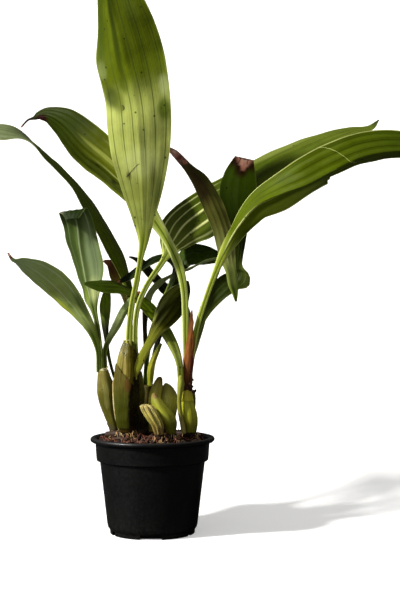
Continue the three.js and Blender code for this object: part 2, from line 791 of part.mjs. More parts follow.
// A bract wrapped part of the way round a stem, a little clear of it, with a pointed upper edge
function bractGeometry(stations, finish, firstAngle, lastAngle, firstShare, lastShare, peak) {
  const [, ribs, ribShare] = finish;
  const inner = [];
  const outer = [];
  for (let i = 0; i <= BRACT_ROWS; i++) {
    const innerRow = [];
    const outerRow = [];
    for (let j = 0; j <= BRACT_COLUMNS; j++) {
      const u = j / BRACT_COLUMNS;
      const angle = radians(firstAngle + (lastAngle - firstAngle) * u);
      const fromPeak = Math.abs(u - peak) / Math.max(peak, 1 - peak);
      const start = firstShare + BRACT_DIP * (lastShare - firstShare) * fromPeak ** 1.5;
      const [x, y, z, radius] = stationAt(stations, lastShare + (start - lastShare) * (i / BRACT_ROWS));
      const skin = radius * (1 + BRACT_LOOSENESS + ribShare * Math.cos(ribs * angle)) + BRACT_GAP;
      const at = (r) => new THREE.Vector3(x + r * Math.cos(angle), y + r * Math.sin(angle), z);
      innerRow.push(at(skin));
      outerRow.push(at(skin + BRACT_THICKNESS));
    }
    inner.push(innerRow);
    outer.push(outerRow);
  }
  return closedSheet(outer, inner);
}

// The pot's inside, from its floor up to its mouth, as [radius, height]
const [beadOut, beadTop] = FOOT_BEAD[FOOT_BEAD.length - 1];
const POT_INSIDE = [
  [FOOT_RADIUS - POT_WALL, FLOOR_THICKNESS],
  [FOOT_RADIUS + beadOut - POT_WALL, beadTop],
  [BODY_TOP_RADIUS - POT_WALL, COLLAR_BOTTOM - STEP_HEIGHT],
  [COLLAR_RADIUS - COLLAR_TAPER - POT_WALL, COLLAR_BOTTOM],
  [COLLAR_RADIUS - POT_WALL, POT_HEIGHT - 1.5 * EDGE_ROUND],
];

// The pot: a rolled lip, a shallow collar and a tapered body with drainage notches in its foot
function potGeometry() {
  const lipBottom = POT_HEIGHT - LIP_HEIGHT;
  const outline = [
    [0, 0],
    [FOOT_RADIUS, 0],
    ...FOOT_BEAD.map(([out, z]) => [FOOT_RADIUS + out, z]),
    [BODY_TOP_RADIUS, COLLAR_BOTTOM - STEP_HEIGHT],
    [COLLAR_RADIUS - COLLAR_TAPER, COLLAR_BOTTOM],
    [COLLAR_RADIUS, lipBottom - EDGE_ROUND],
    [RIM_RADIUS - EDGE_ROUND, lipBottom],
    [RIM_RADIUS, lipBottom + EDGE_ROUND],
    [RIM_RADIUS, POT_HEIGHT - EDGE_ROUND],
    [RIM_RADIUS - EDGE_ROUND, POT_HEIGHT],
    [COLLAR_RADIUS + EDGE_ROUND / 2, POT_HEIGHT],
    ...POT_INSIDE.toReversed(),
    [0, FLOOR_THICKNESS],
  ];
  const profile = outline.map(([r, z]) => new THREE.Vector2(r, z));
  const lathe = new THREE.LatheGeometry(profile, POT_SIDES).rotateX(Math.PI / 2);
  let pot = solidFrom(lathe);
  for (let i = 0; i < NOTCH_COUNT; i++) {
    const notch = new THREE.BoxGeometry(NOTCH_WIDTH, 2 * NOTCH_DEPTH, 2 * NOTCH_HEIGHT);
    notch.translate(0, -FOOT_RADIUS, 0).rotateZ((2 * Math.PI * i) / NOTCH_COUNT);
    pot = pot.subtract(solidFrom(notch));
  }
  return geometryFrom(pot);
}

// Height of the bark surface: a low mound with coarse lumps
function soilHeight(x, y) {
  const share = Math.min(1, Math.hypot(x, y) / (COLLAR_RADIUS - POT_WALL));
  const lumps = BARK_WAVES.map(([height, alongX, alongY, phase]) => {
    return height * Math.sin(alongX * x + alongY * y + phase);
  });
  const relief = lumps.reduce((sum, lump) => sum + lump, 0);
  return SOIL_EDGE_HEIGHT + SOIL_CROWN * (1 - share ** 2) + relief;
}

// Radius of the pot's inner wall at a height
function wallAt(height) {
  const above = POT_INSIDE.findIndex(([, z]) => z >= height);
  const [[lowRadius, low], [highRadius, high]] = [POT_INSIDE[above - 1], POT_INSIDE[above]];
  return THREE.MathUtils.mapLinear(height, low, high, lowRadius, highRadius);
}

// The bark fills the pot, steps over the drainage notches and mounds up under the rhizome
function soilGeometry() {
  const floor = FLOOR_THICKNESS + SEAT_GAP;
  const top = SOIL_EDGE_HEIGHT - SOIL_SKIRT;
  const notchTop = NOTCH_HEIGHT + SEAT_GAP;
  const levels = [top - SOIL_SKIRT, COLLAR_BOTTOM, COLLAR_BOTTOM - STEP_HEIGHT, beadTop, notchTop];
  const rings = [];
  const ring = (radius, height) =>
    Array.from({ length: SOIL_SIDES }, (_, k) => {
      const angle = (2 * Math.PI * k) / SOIL_SIDES;
      const [x, y] = [radius * Math.cos(angle), radius * Math.sin(angle)];
      return new THREE.Vector3(x, y, height === undefined ? soilHeight(x, y) : height);
    });
  const edge = wallAt(top) - SOIL_CLEARANCE;
  for (let i = 1; i <= SOIL_RINGS; i++) rings.push(ring((edge * i) / SOIL_RINGS));
  levels.forEach((z) => rings.push(ring(wallAt(z) - SOIL_CLEARANCE, z)));
  rings.push(ring(FOOT_RADIUS - NOTCH_DEPTH - SOIL_CLEARANCE, notchTop));
  rings.push(ring(FOOT_RADIUS - NOTCH_DEPTH - 2 * SOIL_CLEARANCE, floor));
  const points = rings.flat();
  const [crown, base] = [points.length, points.length + 1];
  points.push(new THREE.Vector3(0, 0, soilHeight(0, 0)), new THREE.Vector3(0, 0, floor));
  const at = (i, k) => i * SOIL_SIDES + (k % SOIL_SIDES);
  const last = rings.length - 1;
  const faces = [];
  for (let k = 0; k < SOIL_SIDES; k++) {
    faces.push([crown, at(0, k), at(0, k + 1)], [base, at(last, k + 1), at(last, k)]);
    for (let i = 0; i < last; i++) {
      faces.push([at(i, k), at(i + 1, k), at(i + 1, k + 1)], [at(i, k), at(i + 1, k + 1), at(i, k + 1)]);
    }
  }
  return geometryOf(points, faces);
}

// A tube through points, with flat ends
function tubeSolid(points, radius, sides) {
  const shape = new THREE.Shape();
  for (let k = 0; k < sides; k++) {
    const angle = (2 * Math.PI * k) / sides;
    const corner = [radius * Math.cos(angle), radius * Math.sin(angle)];
    if (k === 0) shape.moveTo(...corner);
    else shape.lineTo(...corner);
  }
  const path = new THREE.CatmullRomCurve3(points);
  const steps = points.length - 1;
  return solidFrom(new THREE.ExtrudeGeometry(shape, { steps, extrudePath: path, curveSegments: 1 }));
}

// The rhizome that joins the pseudobulbs, as places on the bark
const RHIZOME_ROUTES = [
  [[-45, -6], [-36, -14], [-26, -19], [-14, -12], [-6, 0], [-7, 15], [-9, 28], [-7, 41]],
  [[-6, 0], [4, -8], [16, 0], [27, -6], [36, -8], [41, 0], [39, 11], [35, 22]],
  [[16, 0], [18, -14], [18, -27], [8, -33], [6, -37]],
  [[-8, 28], [-18, 32], [-27, 31]],
];

// Resting places of the roots: each starts at the rhizome and creeps outwards over the bark
function rootRoutes() {
  const starts = RHIZOME_ROUTES.flat();
  const routes = [];
  for (let i = 0; i < ROOT_COUNT; i++) {
    const [x, y] = starts[i % starts.length];
    let heading = Math.atan2(y, x) + (random() - 0.5) * ROOT_SPREAD;
    const route = [[x, y]];
    let [px, py] = [x, y];
    for (let step = 0; step < ROOT_STEPS; step++) {
      heading += (random() - 0.5) * ROOT_WANDER;
      px += ROOT_STRIDE * Math.cos(heading);
      py += ROOT_STRIDE * Math.sin(heading);
      if (Math.hypot(px, py) > ROOT_REACH) break;
      route.push([px, py]);
    }
    if (route.length > 2) routes.push(route);
  }
  return routes;
}

function lyingTube(route, radius, extra, sides) {
  const lift = radius + ROOT_LIFT;
  const points = route.map(([x, y]) => new THREE.Vector3(x, y, soilHeight(x, y) + lift));
  return tubeSolid(points, radius + extra, sides);
}

// Rhizome and roots are one body, and grown by a gap they also cut the stems that stand on them
const routes = rootRoutes();
function rootSolid(extra) {
  const tubes = RHIZOME_ROUTES.map((route) => lyingTube(route, RHIZOME_RADIUS, extra, RHIZOME_SIDES));
  routes.forEach((route) => tubes.push(lyingTube(route, ROOT_RADIUS, extra, ROOT_SIDES)));
  return wasm.Manifold.union(tubes);
}
const roots = rootSolid(0);
const rootRoom = rootSolid(2 * SEAT_GAP);

const plant = new THREE.Group();

function add(name, geometry, color, roughness) {
  const material = new THREE.MeshStandardMaterial({ color, roughness, metalness: 0 });
  const mesh = new THREE.Mesh(geometry, material);
  mesh.name = name;
  plant.add(mesh);
}

add("pot", potGeometry(), POT_BLACK, 0.35);
add("substrate", soilGeometry(), BARK_BROWN, 0.95);
add("rhizome_and_roots", geometryFrom(roots), ROOT_BROWN, 0.8);

for (const [name, stations] of Object.entries(STEMS)) {
  const [color, ribs, ribShare, sides] = STEM_FINISH[name];
  const stem = solidFrom(stemGeometry(stations, sides, ribs, ribShare));
  add(name, geometryFrom(stem.subtract(rootRoom)), color, 0.45);
}

for (const [name, [stem, ...wrap]] of Object.entries(BRACTS)) {
  const color = wrap.pop();
  const geometry = bractGeometry(STEMS[stem], STEM_FINISH[stem], ...wrap);
  add(name, geometryFrom(solidFrom(geometry).subtract(rootRoom)), color, 0.7);
}

for (const { name, stations, pleats, stalk } of LEAVES) {
  let blade = solidFrom(leafGeometry(stations, pleats));
  if (stalk) blade = blade.add(solidFrom(leafGeometry(stalk, 1)));
  add(name, geometryFrom(blade), LEAF_COLOURS[name] ?? LEAF_DARK, 0.4);
}

export default plant;
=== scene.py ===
# %% [markdown]
# # A potted orchid in leaf
# The plant has ribbed swollen stems, called pseudobulbs, that stand on a creeping rhizome, and each
# carries long pleated leaves on slim stalks. It grows in bark in a thin black nursery pot.
# The CAD model already holds every piece at its place and size, so this file gives each of them
# its fine surface, in metres and in the same frame. First the frame is loaded, and the size of the
# CAD model is kept for the last cell. `placed` makes an object of some data and puts it in the scene.

# %% Load the frame
import math

import bmesh
import bpy
import numpy as np
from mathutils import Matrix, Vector, noise


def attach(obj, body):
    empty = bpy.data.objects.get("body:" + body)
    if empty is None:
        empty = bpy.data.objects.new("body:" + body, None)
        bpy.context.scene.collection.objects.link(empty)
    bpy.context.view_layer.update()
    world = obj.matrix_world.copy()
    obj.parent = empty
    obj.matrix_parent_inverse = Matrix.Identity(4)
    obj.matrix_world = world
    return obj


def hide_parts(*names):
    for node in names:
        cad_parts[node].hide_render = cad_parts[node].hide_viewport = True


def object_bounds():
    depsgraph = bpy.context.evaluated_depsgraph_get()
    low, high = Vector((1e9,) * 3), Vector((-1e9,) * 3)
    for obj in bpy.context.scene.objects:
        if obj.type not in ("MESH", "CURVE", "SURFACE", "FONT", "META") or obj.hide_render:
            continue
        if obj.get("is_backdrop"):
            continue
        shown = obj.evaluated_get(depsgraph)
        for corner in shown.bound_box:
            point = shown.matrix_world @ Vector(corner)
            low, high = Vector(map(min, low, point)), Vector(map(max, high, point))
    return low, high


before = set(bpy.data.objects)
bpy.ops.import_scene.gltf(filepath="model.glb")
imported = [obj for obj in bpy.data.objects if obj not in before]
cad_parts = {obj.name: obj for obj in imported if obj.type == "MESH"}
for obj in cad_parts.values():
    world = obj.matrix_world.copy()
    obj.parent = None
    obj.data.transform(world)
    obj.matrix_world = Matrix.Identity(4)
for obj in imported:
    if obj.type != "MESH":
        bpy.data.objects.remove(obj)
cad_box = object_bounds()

MM = 0.001
BODY = "root"


def placed(name, data):
    thing = bpy.data.objects.new(name, data)
    bpy.context.scene.collection.objects.link(thing)
    return thing


print("nodes in the frame:", len(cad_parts))

# %% [markdown]
# The camera stands level, a little right of the pot, so uprights stay parallel. A tilted camera
# could frame the plant as well, but its uprights would lean. From 1.2 m, this lens shows one
# millimetre at the pot's axis as one pixel of the 400 by 600 picture, which makes places easy to
# judge.

# %% Camera
CAMERA_PLACE = Vector((47.4, -1200, 232)) * MM
CAMERA_LENS = 72
CAMERA_SENSOR = 36
camera_data = bpy.data.cameras.new("camera")
camera_data.lens = CAMERA_LENS
camera_data.sensor_width = CAMERA_SENSOR
camera_data.clip_end = 50
camera = placed("camera", camera_data)
camera.location = CAMERA_PLACE
camera.rotation_euler = (math.radians(90), 0, 0)
bpy.context.scene.camera = camera
print("camera at", tuple(round(v, 3) for v in camera.location))

# %% [markdown]
# Node trees are long when they are written out call by call, so small helpers make them short.
# `add` makes a node and fills its inputs with values or with links, and `made` gives its first
# output. `plus`, `minus` and `times` join any number of values, and `vector` does sums on places.
# They serve materials and Geometry Nodes alike.

# %% Node helpers
def add(tree, kind, inputs=None, **settings):
    """A new node; each input takes a value, or another node's output, which is linked."""
    node = tree.nodes.new(kind)
    for key, value in settings.items():
        setattr(node, key, value)
    for key, value in (inputs or {}).items():
        if isinstance(value, bpy.types.NodeSocket):
            tree.links.new(value, node.inputs[key])
        else:
            node.inputs[key].default_value = value
    return node


def made(tree, kind, inputs=None, **settings):
    return add(tree, kind, inputs, **settings).outputs[0]


def maths(tree, operation, a, b=0.5, clamp=False):
    return made(tree, "ShaderNodeMath", {0: a, 1: b}, operation=operation, use_clamp=clamp)


def chain(operation):
    """A helper that joins any number of values by one operation, from left to right."""
    def joined(tree, total, *others):
        for other in others:
            total = maths(tree, operation, total, other)
        return total

    return joined


plus = chain("ADD")
minus = chain("SUBTRACT")
times = chain("MULTIPLY")


def vector(tree, operation, a, b=None, scale=None):
    """One sum on places or directions; a length or a dot product comes out as a number."""
    inputs = {0: a}
    if b is not None:
        inputs[1] = b
    if scale is not None:
        inputs["Scale"] = scale
    node = add(tree, "ShaderNodeVectorMath", inputs, operation=operation)
    return node.outputs["Value" if operation in ("LENGTH", "DOT_PRODUCT") else "Vector"]


def split(tree, place):
    return add(tree, "ShaderNodeSeparateXYZ", {0: place}).outputs


def join(tree, x=0.0, y=0.0, z=0.0):
    return made(tree, "ShaderNodeCombineXYZ", {0: x, 1: y, 2: z})


def noisy(tree, place, scale=1.0, detail=2.0, roughness=0.5):
    inputs = {"Vector": place, "Scale": scale, "Detail": detail, "Roughness": roughness}
    return made(tree, "ShaderNodeTexNoise", inputs)


print("node helpers ready")

# %% [markdown]
# Colours are written as screen values from 0 to 255, and `linear` turns such a colour into the one
# that Blender computes with. `mix` blends two colours, and `between` is a smooth step. A Color Ramp
# node could do both, but its stops are hard to read in code.

# %% Colour helpers
def linear(tone):
    """A colour for a node: three screen values are turned linear, anything else stays."""
    if not isinstance(tone, tuple) or len(tone) == 4:
        return tone
    parts = [c / 255 for c in tone]
    return tuple(((c + 0.055) / 1.055) ** 2.4 if c > 0.04 else c / 12.92 for c in parts) + (1.0,)


def mix(tree, share, a, b):
    inputs = {"Factor": share, 6: linear(a), 7: linear(b)}
    return add(tree, "ShaderNodeMix", inputs, data_type="RGBA").outputs[2]


def between(tree, value, low, high, to_low=0.0, to_high=1.0):
    """A smooth step: the value's way from low to high, as a number from to_low to to_high."""
    inputs = {"Value": value, "From Min": low, "From Max": high, "To Min": to_low, "To Max": to_high}
    return made(tree, "ShaderNodeMapRange", inputs, interpolation_type="SMOOTHSTEP")


print("mid grey is", round(linear((128, 128, 128))[0], 3))

# %% [markdown]
# Effects that several finishes share, and every Geometry Nodes tree, are node groups. A group's
# sockets can be added one by one, but a list of names reads better: each name comes with its kind,
# or with the number that it starts from, whose type says the kind.

# %% Group helpers
FLOAT = "NodeSocketFloat"
VECTOR = "NodeSocketVector"
COLOUR = "NodeSocketColor"
INTEGER = "NodeSocketInt"
GEOMETRY = "NodeSocketGeometry"
MATERIAL = "NodeSocketMaterial"


def group(name, kind, inputs, outputs):
    """An empty node group with named sockets; gives the tree, its inputs and its end node."""
    tree = bpy.data.node_groups.new(name, kind)
    for direction, sockets in (("INPUT", inputs), ("OUTPUT", outputs)):
        for title, start in sockets.items():
            kind_given = isinstance(start, str)
            socket_type = start if kind_given else {float: FLOAT, int: INTEGER}[type(start)]
            socket = tree.interface.new_socket(title, in_out=direction, socket_type=socket_type)
            if not kind_given:
                socket.default_value = start
    given = tree.nodes.new("NodeGroupInput").outputs
    return tree, given, tree.nodes.new("NodeGroupOutput")


def use(tree, shared, **inputs):
    """Places a shared group in a tree; an input's name is given in small letters."""
    node = add(tree, "ShaderNodeGroup", node_tree=shared)
    for socket in node.inputs:
        value = inputs.get(socket.name.lower())
        if isinstance(value, bpy.types.NodeSocket):
            tree.links.new(value, socket)
        elif value is not None:
            socket.default_value = value
    return node.outputs


print("group helpers ready")

# %% [markdown]
# One lamp stands at the left and a little in front. A sun a few degrees wide gives parallel light,
# so shadows are crisp at the pot and soft further out, as in the photograph. An area lamp could do
# the same, but its light would fall off across the leaves.

# %% Lamp
LAMP_HEADING = 27
LAMP_HEIGHT = 34
LAMP_STRENGTH = 5.2
LAMP_WIDTH = 4.5
LAMP_TONE = (1.0, 0.985, 0.95)
lamp_data = bpy.data.lights.new("key", "SUN")
lamp_data.energy = LAMP_STRENGTH
lamp_data.angle = math.radians(LAMP_WIDTH)
lamp_data.color = LAMP_TONE
lamp = placed("key", lamp_data)
heading, height = math.radians(LAMP_HEADING), math.radians(LAMP_HEIGHT)
towards = Vector((
    -math.cos(heading) * math.cos(height), -math.sin(heading) * math.cos(height), math.sin(height)))
lamp.rotation_euler = towards.to_track_quat("Z", "Y").to_euler()
print("lamp towards", tuple(round(v, 2) for v in towards))

# %% [markdown]
# The surround fills the shadows, most from the front left. Diffuse and glossy rays see it
# differently: glossy rays see it dim, with one bright panel at the left, so dark leaves stay dark
# and only what faces the panel shines. The camera sees it white.

# %% Surround
FILL_DIFFUSE = 0.07
FILL_FRONT = 0.75
FILL_GLOSSY = 0.03
PANEL_GLOSSY = 1.1
BACKDROP = 1.1
FRONT = (-0.55, -0.78, 0.3)
PANEL = (-0.93, -0.3, 0.2)
world = bpy.data.worlds.new("surround")
bpy.context.scene.world = world
world.use_nodes = True
tree = world.node_tree
tree.nodes.clear()
path = tree.nodes.new("ShaderNodeLightPath").outputs
way = add(tree, "ShaderNodeTexCoord").outputs["Generated"]
fill = between(tree, vector(tree, "DOT_PRODUCT", way, FRONT), 0.1, 1.0, FILL_DIFFUSE, FILL_FRONT)
dim = between(tree, vector(tree, "DOT_PRODUCT", way, PANEL), 0.7, 0.95, FILL_GLOSSY, PANEL_GLOSSY)
strength = plus(
    tree, times(tree, path["Is Glossy Ray"], dim), times(tree, path["Is Camera Ray"], BACKDROP),
    times(tree, fill, minus(tree, 1.0, path["Is Glossy Ray"])))
shade = add(tree, "ShaderNodeBackground", {"Color": (1, 1, 1, 1), "Strength": strength})
add(tree, "ShaderNodeOutputWorld", {"Surface": shade.outputs[0]})
print("surround nodes:", len(tree.nodes))

# %% [markdown]
# The floor is a sheet that curves up behind the plant, so it meets the backdrop without a line. The
# camera sees it pale and softly lit from within, like an overexposed white ground. Diffuse rays see
# it greyer and glossy rays almost black, so it throws little light up at the leaves. Its back is
# clear, and a view from behind looks through it.

# %% Floor
SWEEP_START = 0.05
SWEEP_RADIUS = 0.3
SWEEP_STEP = 0.04
FLOOR_EDGE = 12.0
FLOOR_SEEN = (0.8, 0.795, 0.79, 1)
FLOOR_DIFFUSE = (0.2, 0.2, 0.195, 1)
FLOOR_GLOSSY = (0.03, 0.03, 0.03, 1)
FLOOR_GLOW = 0.41


def floor_mesh():
    depths = [-FLOOR_EDGE, -1.0, 0.0, *(SWEEP_START + SWEEP_STEP * k for k in range(46))]
    rows = [(y, max(y - SWEEP_START, 0) ** 2 / (2 * SWEEP_RADIUS)) for y in depths]
    corners = [(x, y, z) for y, z in rows for x in (-FLOOR_EDGE, FLOOR_EDGE)]
    faces = [(2 * k, 2 * k + 1, 2 * k + 3, 2 * k + 2) for k in range(len(rows) - 1)]
    mesh = bpy.data.meshes.new("studio_floor")
    mesh.from_pydata(corners, [], faces)
    mesh.shade_smooth()
    return mesh


floor = placed("studio_floor", floor_mesh())
material = bpy.data.materials.new("studio_floor")
material.use_nodes = True
tree = material.node_tree
shader = tree.nodes["Principled BSDF"]
path = tree.nodes.new("ShaderNodeLightPath").outputs
unseen = mix(tree, path["Is Glossy Ray"], FLOOR_DIFFUSE, FLOOR_GLOSSY)
behind = tree.nodes.new("ShaderNodeNewGeometry").outputs["Backfacing"]
tree.links.new(mix(tree, path["Is Camera Ray"], unseen, FLOOR_SEEN), shader.inputs["Base Color"])
tree.links.new(times(tree, path["Is Camera Ray"], FLOOR_GLOW), shader.inputs["Emission Strength"])
tree.links.new(minus(tree, 1.0, behind), shader.inputs["Alpha"])
shader.inputs["Roughness"].default_value = 0.9
shader.inputs["Specular IOR Level"].default_value = 0.1
shader.inputs["Emission Color"].default_value = (1, 0.995, 0.985, 1)
floor.data.materials.append(material)
floor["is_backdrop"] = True
bpy.context.scene.view_settings.view_transform = "Standard"
print("floor rows:", len(floor.data.vertices) // 2)

# %% [markdown]
# Living tissue is never one flat colour. Several finishes share the same effects, so each effect is
# a node group, built once. `cloudy` is a soft patchy mask, `streaks` are fibres that run along a
# leaf, `ribs` are the parallel veins of a pleated blade with a painted shade across each pleat, and
# `specks` are small dark spots.

# %% Clouds, streaks, ribs and specks
def cloudy_group():
    inputs = {"Vector": VECTOR, "Scale": 60.0, "Contrast": 0.25}
    tree, given, end = group("cloudy", "ShaderNodeTree", inputs, {"Mask": FLOAT})
    cloud = noisy(tree, given["Vector"], given["Scale"], 4.0, 0.55)
    low = minus(tree, 0.5, given["Contrast"])
    high = plus(tree, 0.5, given["Contrast"])
    tree.links.new(between(tree, cloud, low, high), end.inputs[0])
    return tree


def streaks_group():
    inputs = {"Across": 0.0, "Along": 0.0, "Lines": 40.0, "Stretch": 2.0}
    tree, given, end = group("streaks", "ShaderNodeTree", inputs, {"Mask": FLOAT})
    x = times(tree, given["Across"], given["Lines"])
    y = times(tree, given["Along"], given["Stretch"])
    fibre = noisy(tree, join(tree, x, y), 1.0, 3.0, 0.6)
    tree.links.new(between(tree, fibre, 0.32, 0.68), end.inputs[0])
    return tree


def ribs_group():
    inputs = {"Across": 0.0, "Ribs": 7.0, "Width": 0.12}
    tree, given, end = group("ribs", "ShaderNodeTree", inputs, {"Line": FLOAT, "Swell": FLOAT})
    part = maths(tree, "FRACT", times(tree, given["Across"], given["Ribs"]))
    away = maths(tree, "ABSOLUTE", minus(tree, part, 0.5))
    tree.links.new(between(tree, away, 0.0, given["Width"], 1.0, 0.0), end.inputs["Line"])
    # Painted shade across each pleat: darker at the rib, lighter between ribs.
    tree.links.new(between(tree, away, 0.0, 0.5), end.inputs["Swell"])
    return tree


def specks_group():
    inputs = {"Vector": VECTOR, "Scale": 90.0, "Size": 0.12, "Share": 0.3}
    tree, given, end = group("specks", "ShaderNodeTree", inputs, {"Mask": FLOAT})
    cells = add(tree, "ShaderNodeTexVoronoi", {"Vector": given["Vector"], "Scale": given["Scale"]})
    inner = times(tree, given["Size"], 0.5)
    dot = between(tree, cells.outputs["Distance"], inner, given["Size"], 1.0, 0.0)
    chosen = made(tree, "ShaderNodeSeparateColor", {0: cells.outputs["Color"]})
    tree.links.new(times(tree, dot, maths(tree, "LESS_THAN", chosen, given["Share"])), end.inputs[0])
    return tree


def cloudy(tree, spot, scale, contrast):
    return use(tree, CLOUDY, vector=spot, scale=scale, contrast=contrast)[0]


CLOUDY = cloudy_group()
STREAKS = streaks_group()
RIBS = ribs_group()
SPECKS = specks_group()
print("effects:", [shared.name for shared in (CLOUDY, STREAKS, RIBS, SPECKS)])

# %% [markdown]
# Leaf tips and scars wither to brown paper. `withered` takes a number for how dry a place is, makes
# its edge ragged with noise, and gives back a mask, a colour and a crumpled height. A separate dry
# mesh piece could do it too, but here the green runs into the brown, as it does on a leaf.

# %% Withered tissue
def withered_group():
    outputs = {"Mask": FLOAT, "Colour": COLOUR, "Height": FLOAT}
    tree, given, end = group("withered", "ShaderNodeTree", {"Vector": VECTOR, "Dryness": 0.0}, outputs)
    ragged = noisy(tree, given["Vector"], 260.0, 4.0)
    amount = plus(tree, given["Dryness"], times(tree, minus(tree, ragged, 0.5), 0.9))
    crumple = noisy(tree, given["Vector"], 420.0, 5.0)
    tone = mix(tree, between(tree, amount, 0.4, 0.75), (58, 24, 16), (150, 98, 74))
    tone = mix(tree, between(tree, crumple, 0.5, 0.7), tone, (205, 160, 138))
    tree.links.new(between(tree, amount, 0.38, 0.52), end.inputs["Mask"])
    tree.links.new(tone, end.inputs["Colour"])
    tree.links.new(crumple, end.inputs["Height"])
    return tree


WITHERED = withered_group()
print("withered nodes:", len(WITHERED.nodes))

# %% [markdown]
# Every finish starts and ends the same way. It starts as one shader whose fixed sockets are set
# directly, with `spot`, the place on the piece. It ends with a colour, a roughness and a relief,
# which are linked to that shader. The relief goes through a Bump node, its depth given in metres.

# %% Finish helpers
def finish_start(name, roughness, specular):
    material = bpy.data.materials.new(name)
    material.use_nodes = True
    tree = material.node_tree
    shader = tree.nodes["Principled BSDF"]
    shader.inputs["Roughness"].default_value = roughness
    shader.inputs["Specular IOR Level"].default_value = specular
    return material, tree, add(tree, "ShaderNodeTexCoord").outputs["Object"]


def finish_end(material, colour, roughness, relief, strength, depth):
    tree = material.node_tree
    shader = tree.nodes["Principled BSDF"]
    bump = made(tree, "ShaderNodeBump", {"Height": relief, "Strength": strength, "Distance": depth})
    for title, value in (("Base Color", colour), ("Roughness", roughness), ("Normal", bump)):
        tree.links.new(value, shader.inputs[title])
    return material


print("finish helpers ready")

# %% [markdown]
# A leaf blade is pleated along parallel veins. Its material reads two things that the mesh carries:
# a UV map that runs across the blade and along it, so veins narrow with the leaf, and attributes
# for where it is blade or stalk, back or front, withered, and where it carries stains, painted
# highlights and painted shade. Veins with a painted shade across each pleat, fibres, clouds and
# specks lie over three colours that run from the stalk's end to the tip.

# %% Leaf finish
def stalk_tone(tree, edge, under, fibre, stalk, stalk_edge, groove):
    """The petiole's colour: paler at its edges, dark in its groove, streaked lengthwise."""
    tone = mix(tree, between(tree, edge, 0.16, 0.4), stalk, stalk_edge)
    tone = mix(tree, between(tree, edge, 0.02, 0.09, 1.0, 0.0), tone, groove)
    tone = mix(tree, times(tree, under, 0.4), tone, stalk)
    value = between(tree, fibre, 0.0, 1.0, 0.74, 1.12)
    return made(tree, "ShaderNodeHueSaturation", {"Value": value, "Color": tone})


def leaf_finish(
        name, near, middle, far, vein, ribs=7, vein_share=0.5, specks=0.2, back=(74, 88, 36),
        stalk=(64, 80, 20), stalk_edge=(120, 134, 52), groove=(44, 56, 10), margin=0.25,
        turns=(0.1, 0.5, 0.6, 0.95), vein_end=0.95, vein_width=0.1, shine=0.09):
    material, tree, spot = finish_start(name, 0.42, shine)
    across, along, _ = split(tree, made(tree, "ShaderNodeUVMap", uv_map="leaf"))
    read = {key: add(tree, "ShaderNodeAttribute", attribute_name=key).outputs for key in (
        "blade", "under", "dry", "stain_and_painted_light")}
    under, stain_and_painted_light = read["under"]["Fac"], read["stain_and_painted_light"]
    edge = maths(tree, "ABSOLUTE", minus(tree, across, 0.5))
    cloud = cloudy(tree, spot, 42.0, 0.22)
    small = cloudy(tree, spot, 240.0, 0.3)
    fibre = use(tree, STREAKS, across=across, along=along, lines=70.0, stretch=5.0)[0]
    veins = use(tree, RIBS, across=across, ribs=float(ribs), width=vein_width)
    fine_veins = use(tree, RIBS, across=across, ribs=float(ribs * 4), width=0.3)
    colour = mix(tree, between(tree, along, turns[0], turns[1]), near, middle)
    colour = mix(tree, between(tree, along, turns[2], turns[3]), colour, far)
    colour = mix(tree, times(tree, under, 0.6), colour, back)
    # Painted shade: the pleat term makes the blade darker at each rib line and lighter between them.
    value = plus(
        tree, times(tree, cloud, 0.3), times(tree, small, 0.1), times(tree, fibre, 0.12),
        times(tree, fine_veins["Line"], 0.07), times(tree, veins["Swell"], 0.08), 0.73)
    colour = made(tree, "ShaderNodeHueSaturation", {"Value": value, "Color": colour})
    line = times(
        tree, veins["Line"], between(tree, along, vein_end - 0.1, vein_end, vein_share, 0.0),
        between(tree, fibre, 0.0, 0.8, 0.5, 1.0))
    colour = mix(tree, line, colour, vein)
    # Stains, painted highlights and painted shade, painted on the leaf's points, lie over the colour here.
    colour = mix(tree, stain_and_painted_light["Alpha"], colour, stain_and_painted_light["Color"])
    petiole = stalk_tone(tree, edge, under, fibre, stalk, stalk_edge, groove)
    colour = mix(tree, read["blade"]["Fac"], petiole, colour)
    colour = mix(tree, times(tree, between(tree, edge, 0.475, 0.497), margin), colour, (196, 202, 120))
    dots = use(tree, SPECKS, vector=spot, scale=110.0, size=0.16, share=specks)[0]
    colour = mix(tree, times(tree, dots, 0.8), colour, (34, 34, 10))
    dry = use(tree, WITHERED, vector=spot, dryness=read["dry"]["Fac"])
    colour = mix(tree, dry["Mask"], colour, dry["Colour"])
    gloss = plus(tree, times(tree, cloud, 0.16), 0.3, times(tree, dry["Mask"], 0.35))
    relief = plus(
        tree, times(tree, veins["Line"], 0.5), times(tree, fibre, 0.35), times(tree, small, 0.3),
        times(tree, dry["Height"], dry["Mask"]))
    return finish_end(material, colour, gloss, relief, 0.5, 0.0006)


print("leaf finish ready")

# %% [markdown]
# Every leaf follows a row of stations picked from its foot to its tip: a place, half the width, a
# roll about the midrib and a fold between its two halves. A mesh could be modelled leaf by leaf,
# but stations keep each leaf where its CAD solid lies, and some feet, widths and tips are finer
# here than in the solids. Places are in millimetres, angles in degrees. The first picks were made
# in the picture, and a scratch program turned them into millimetres.

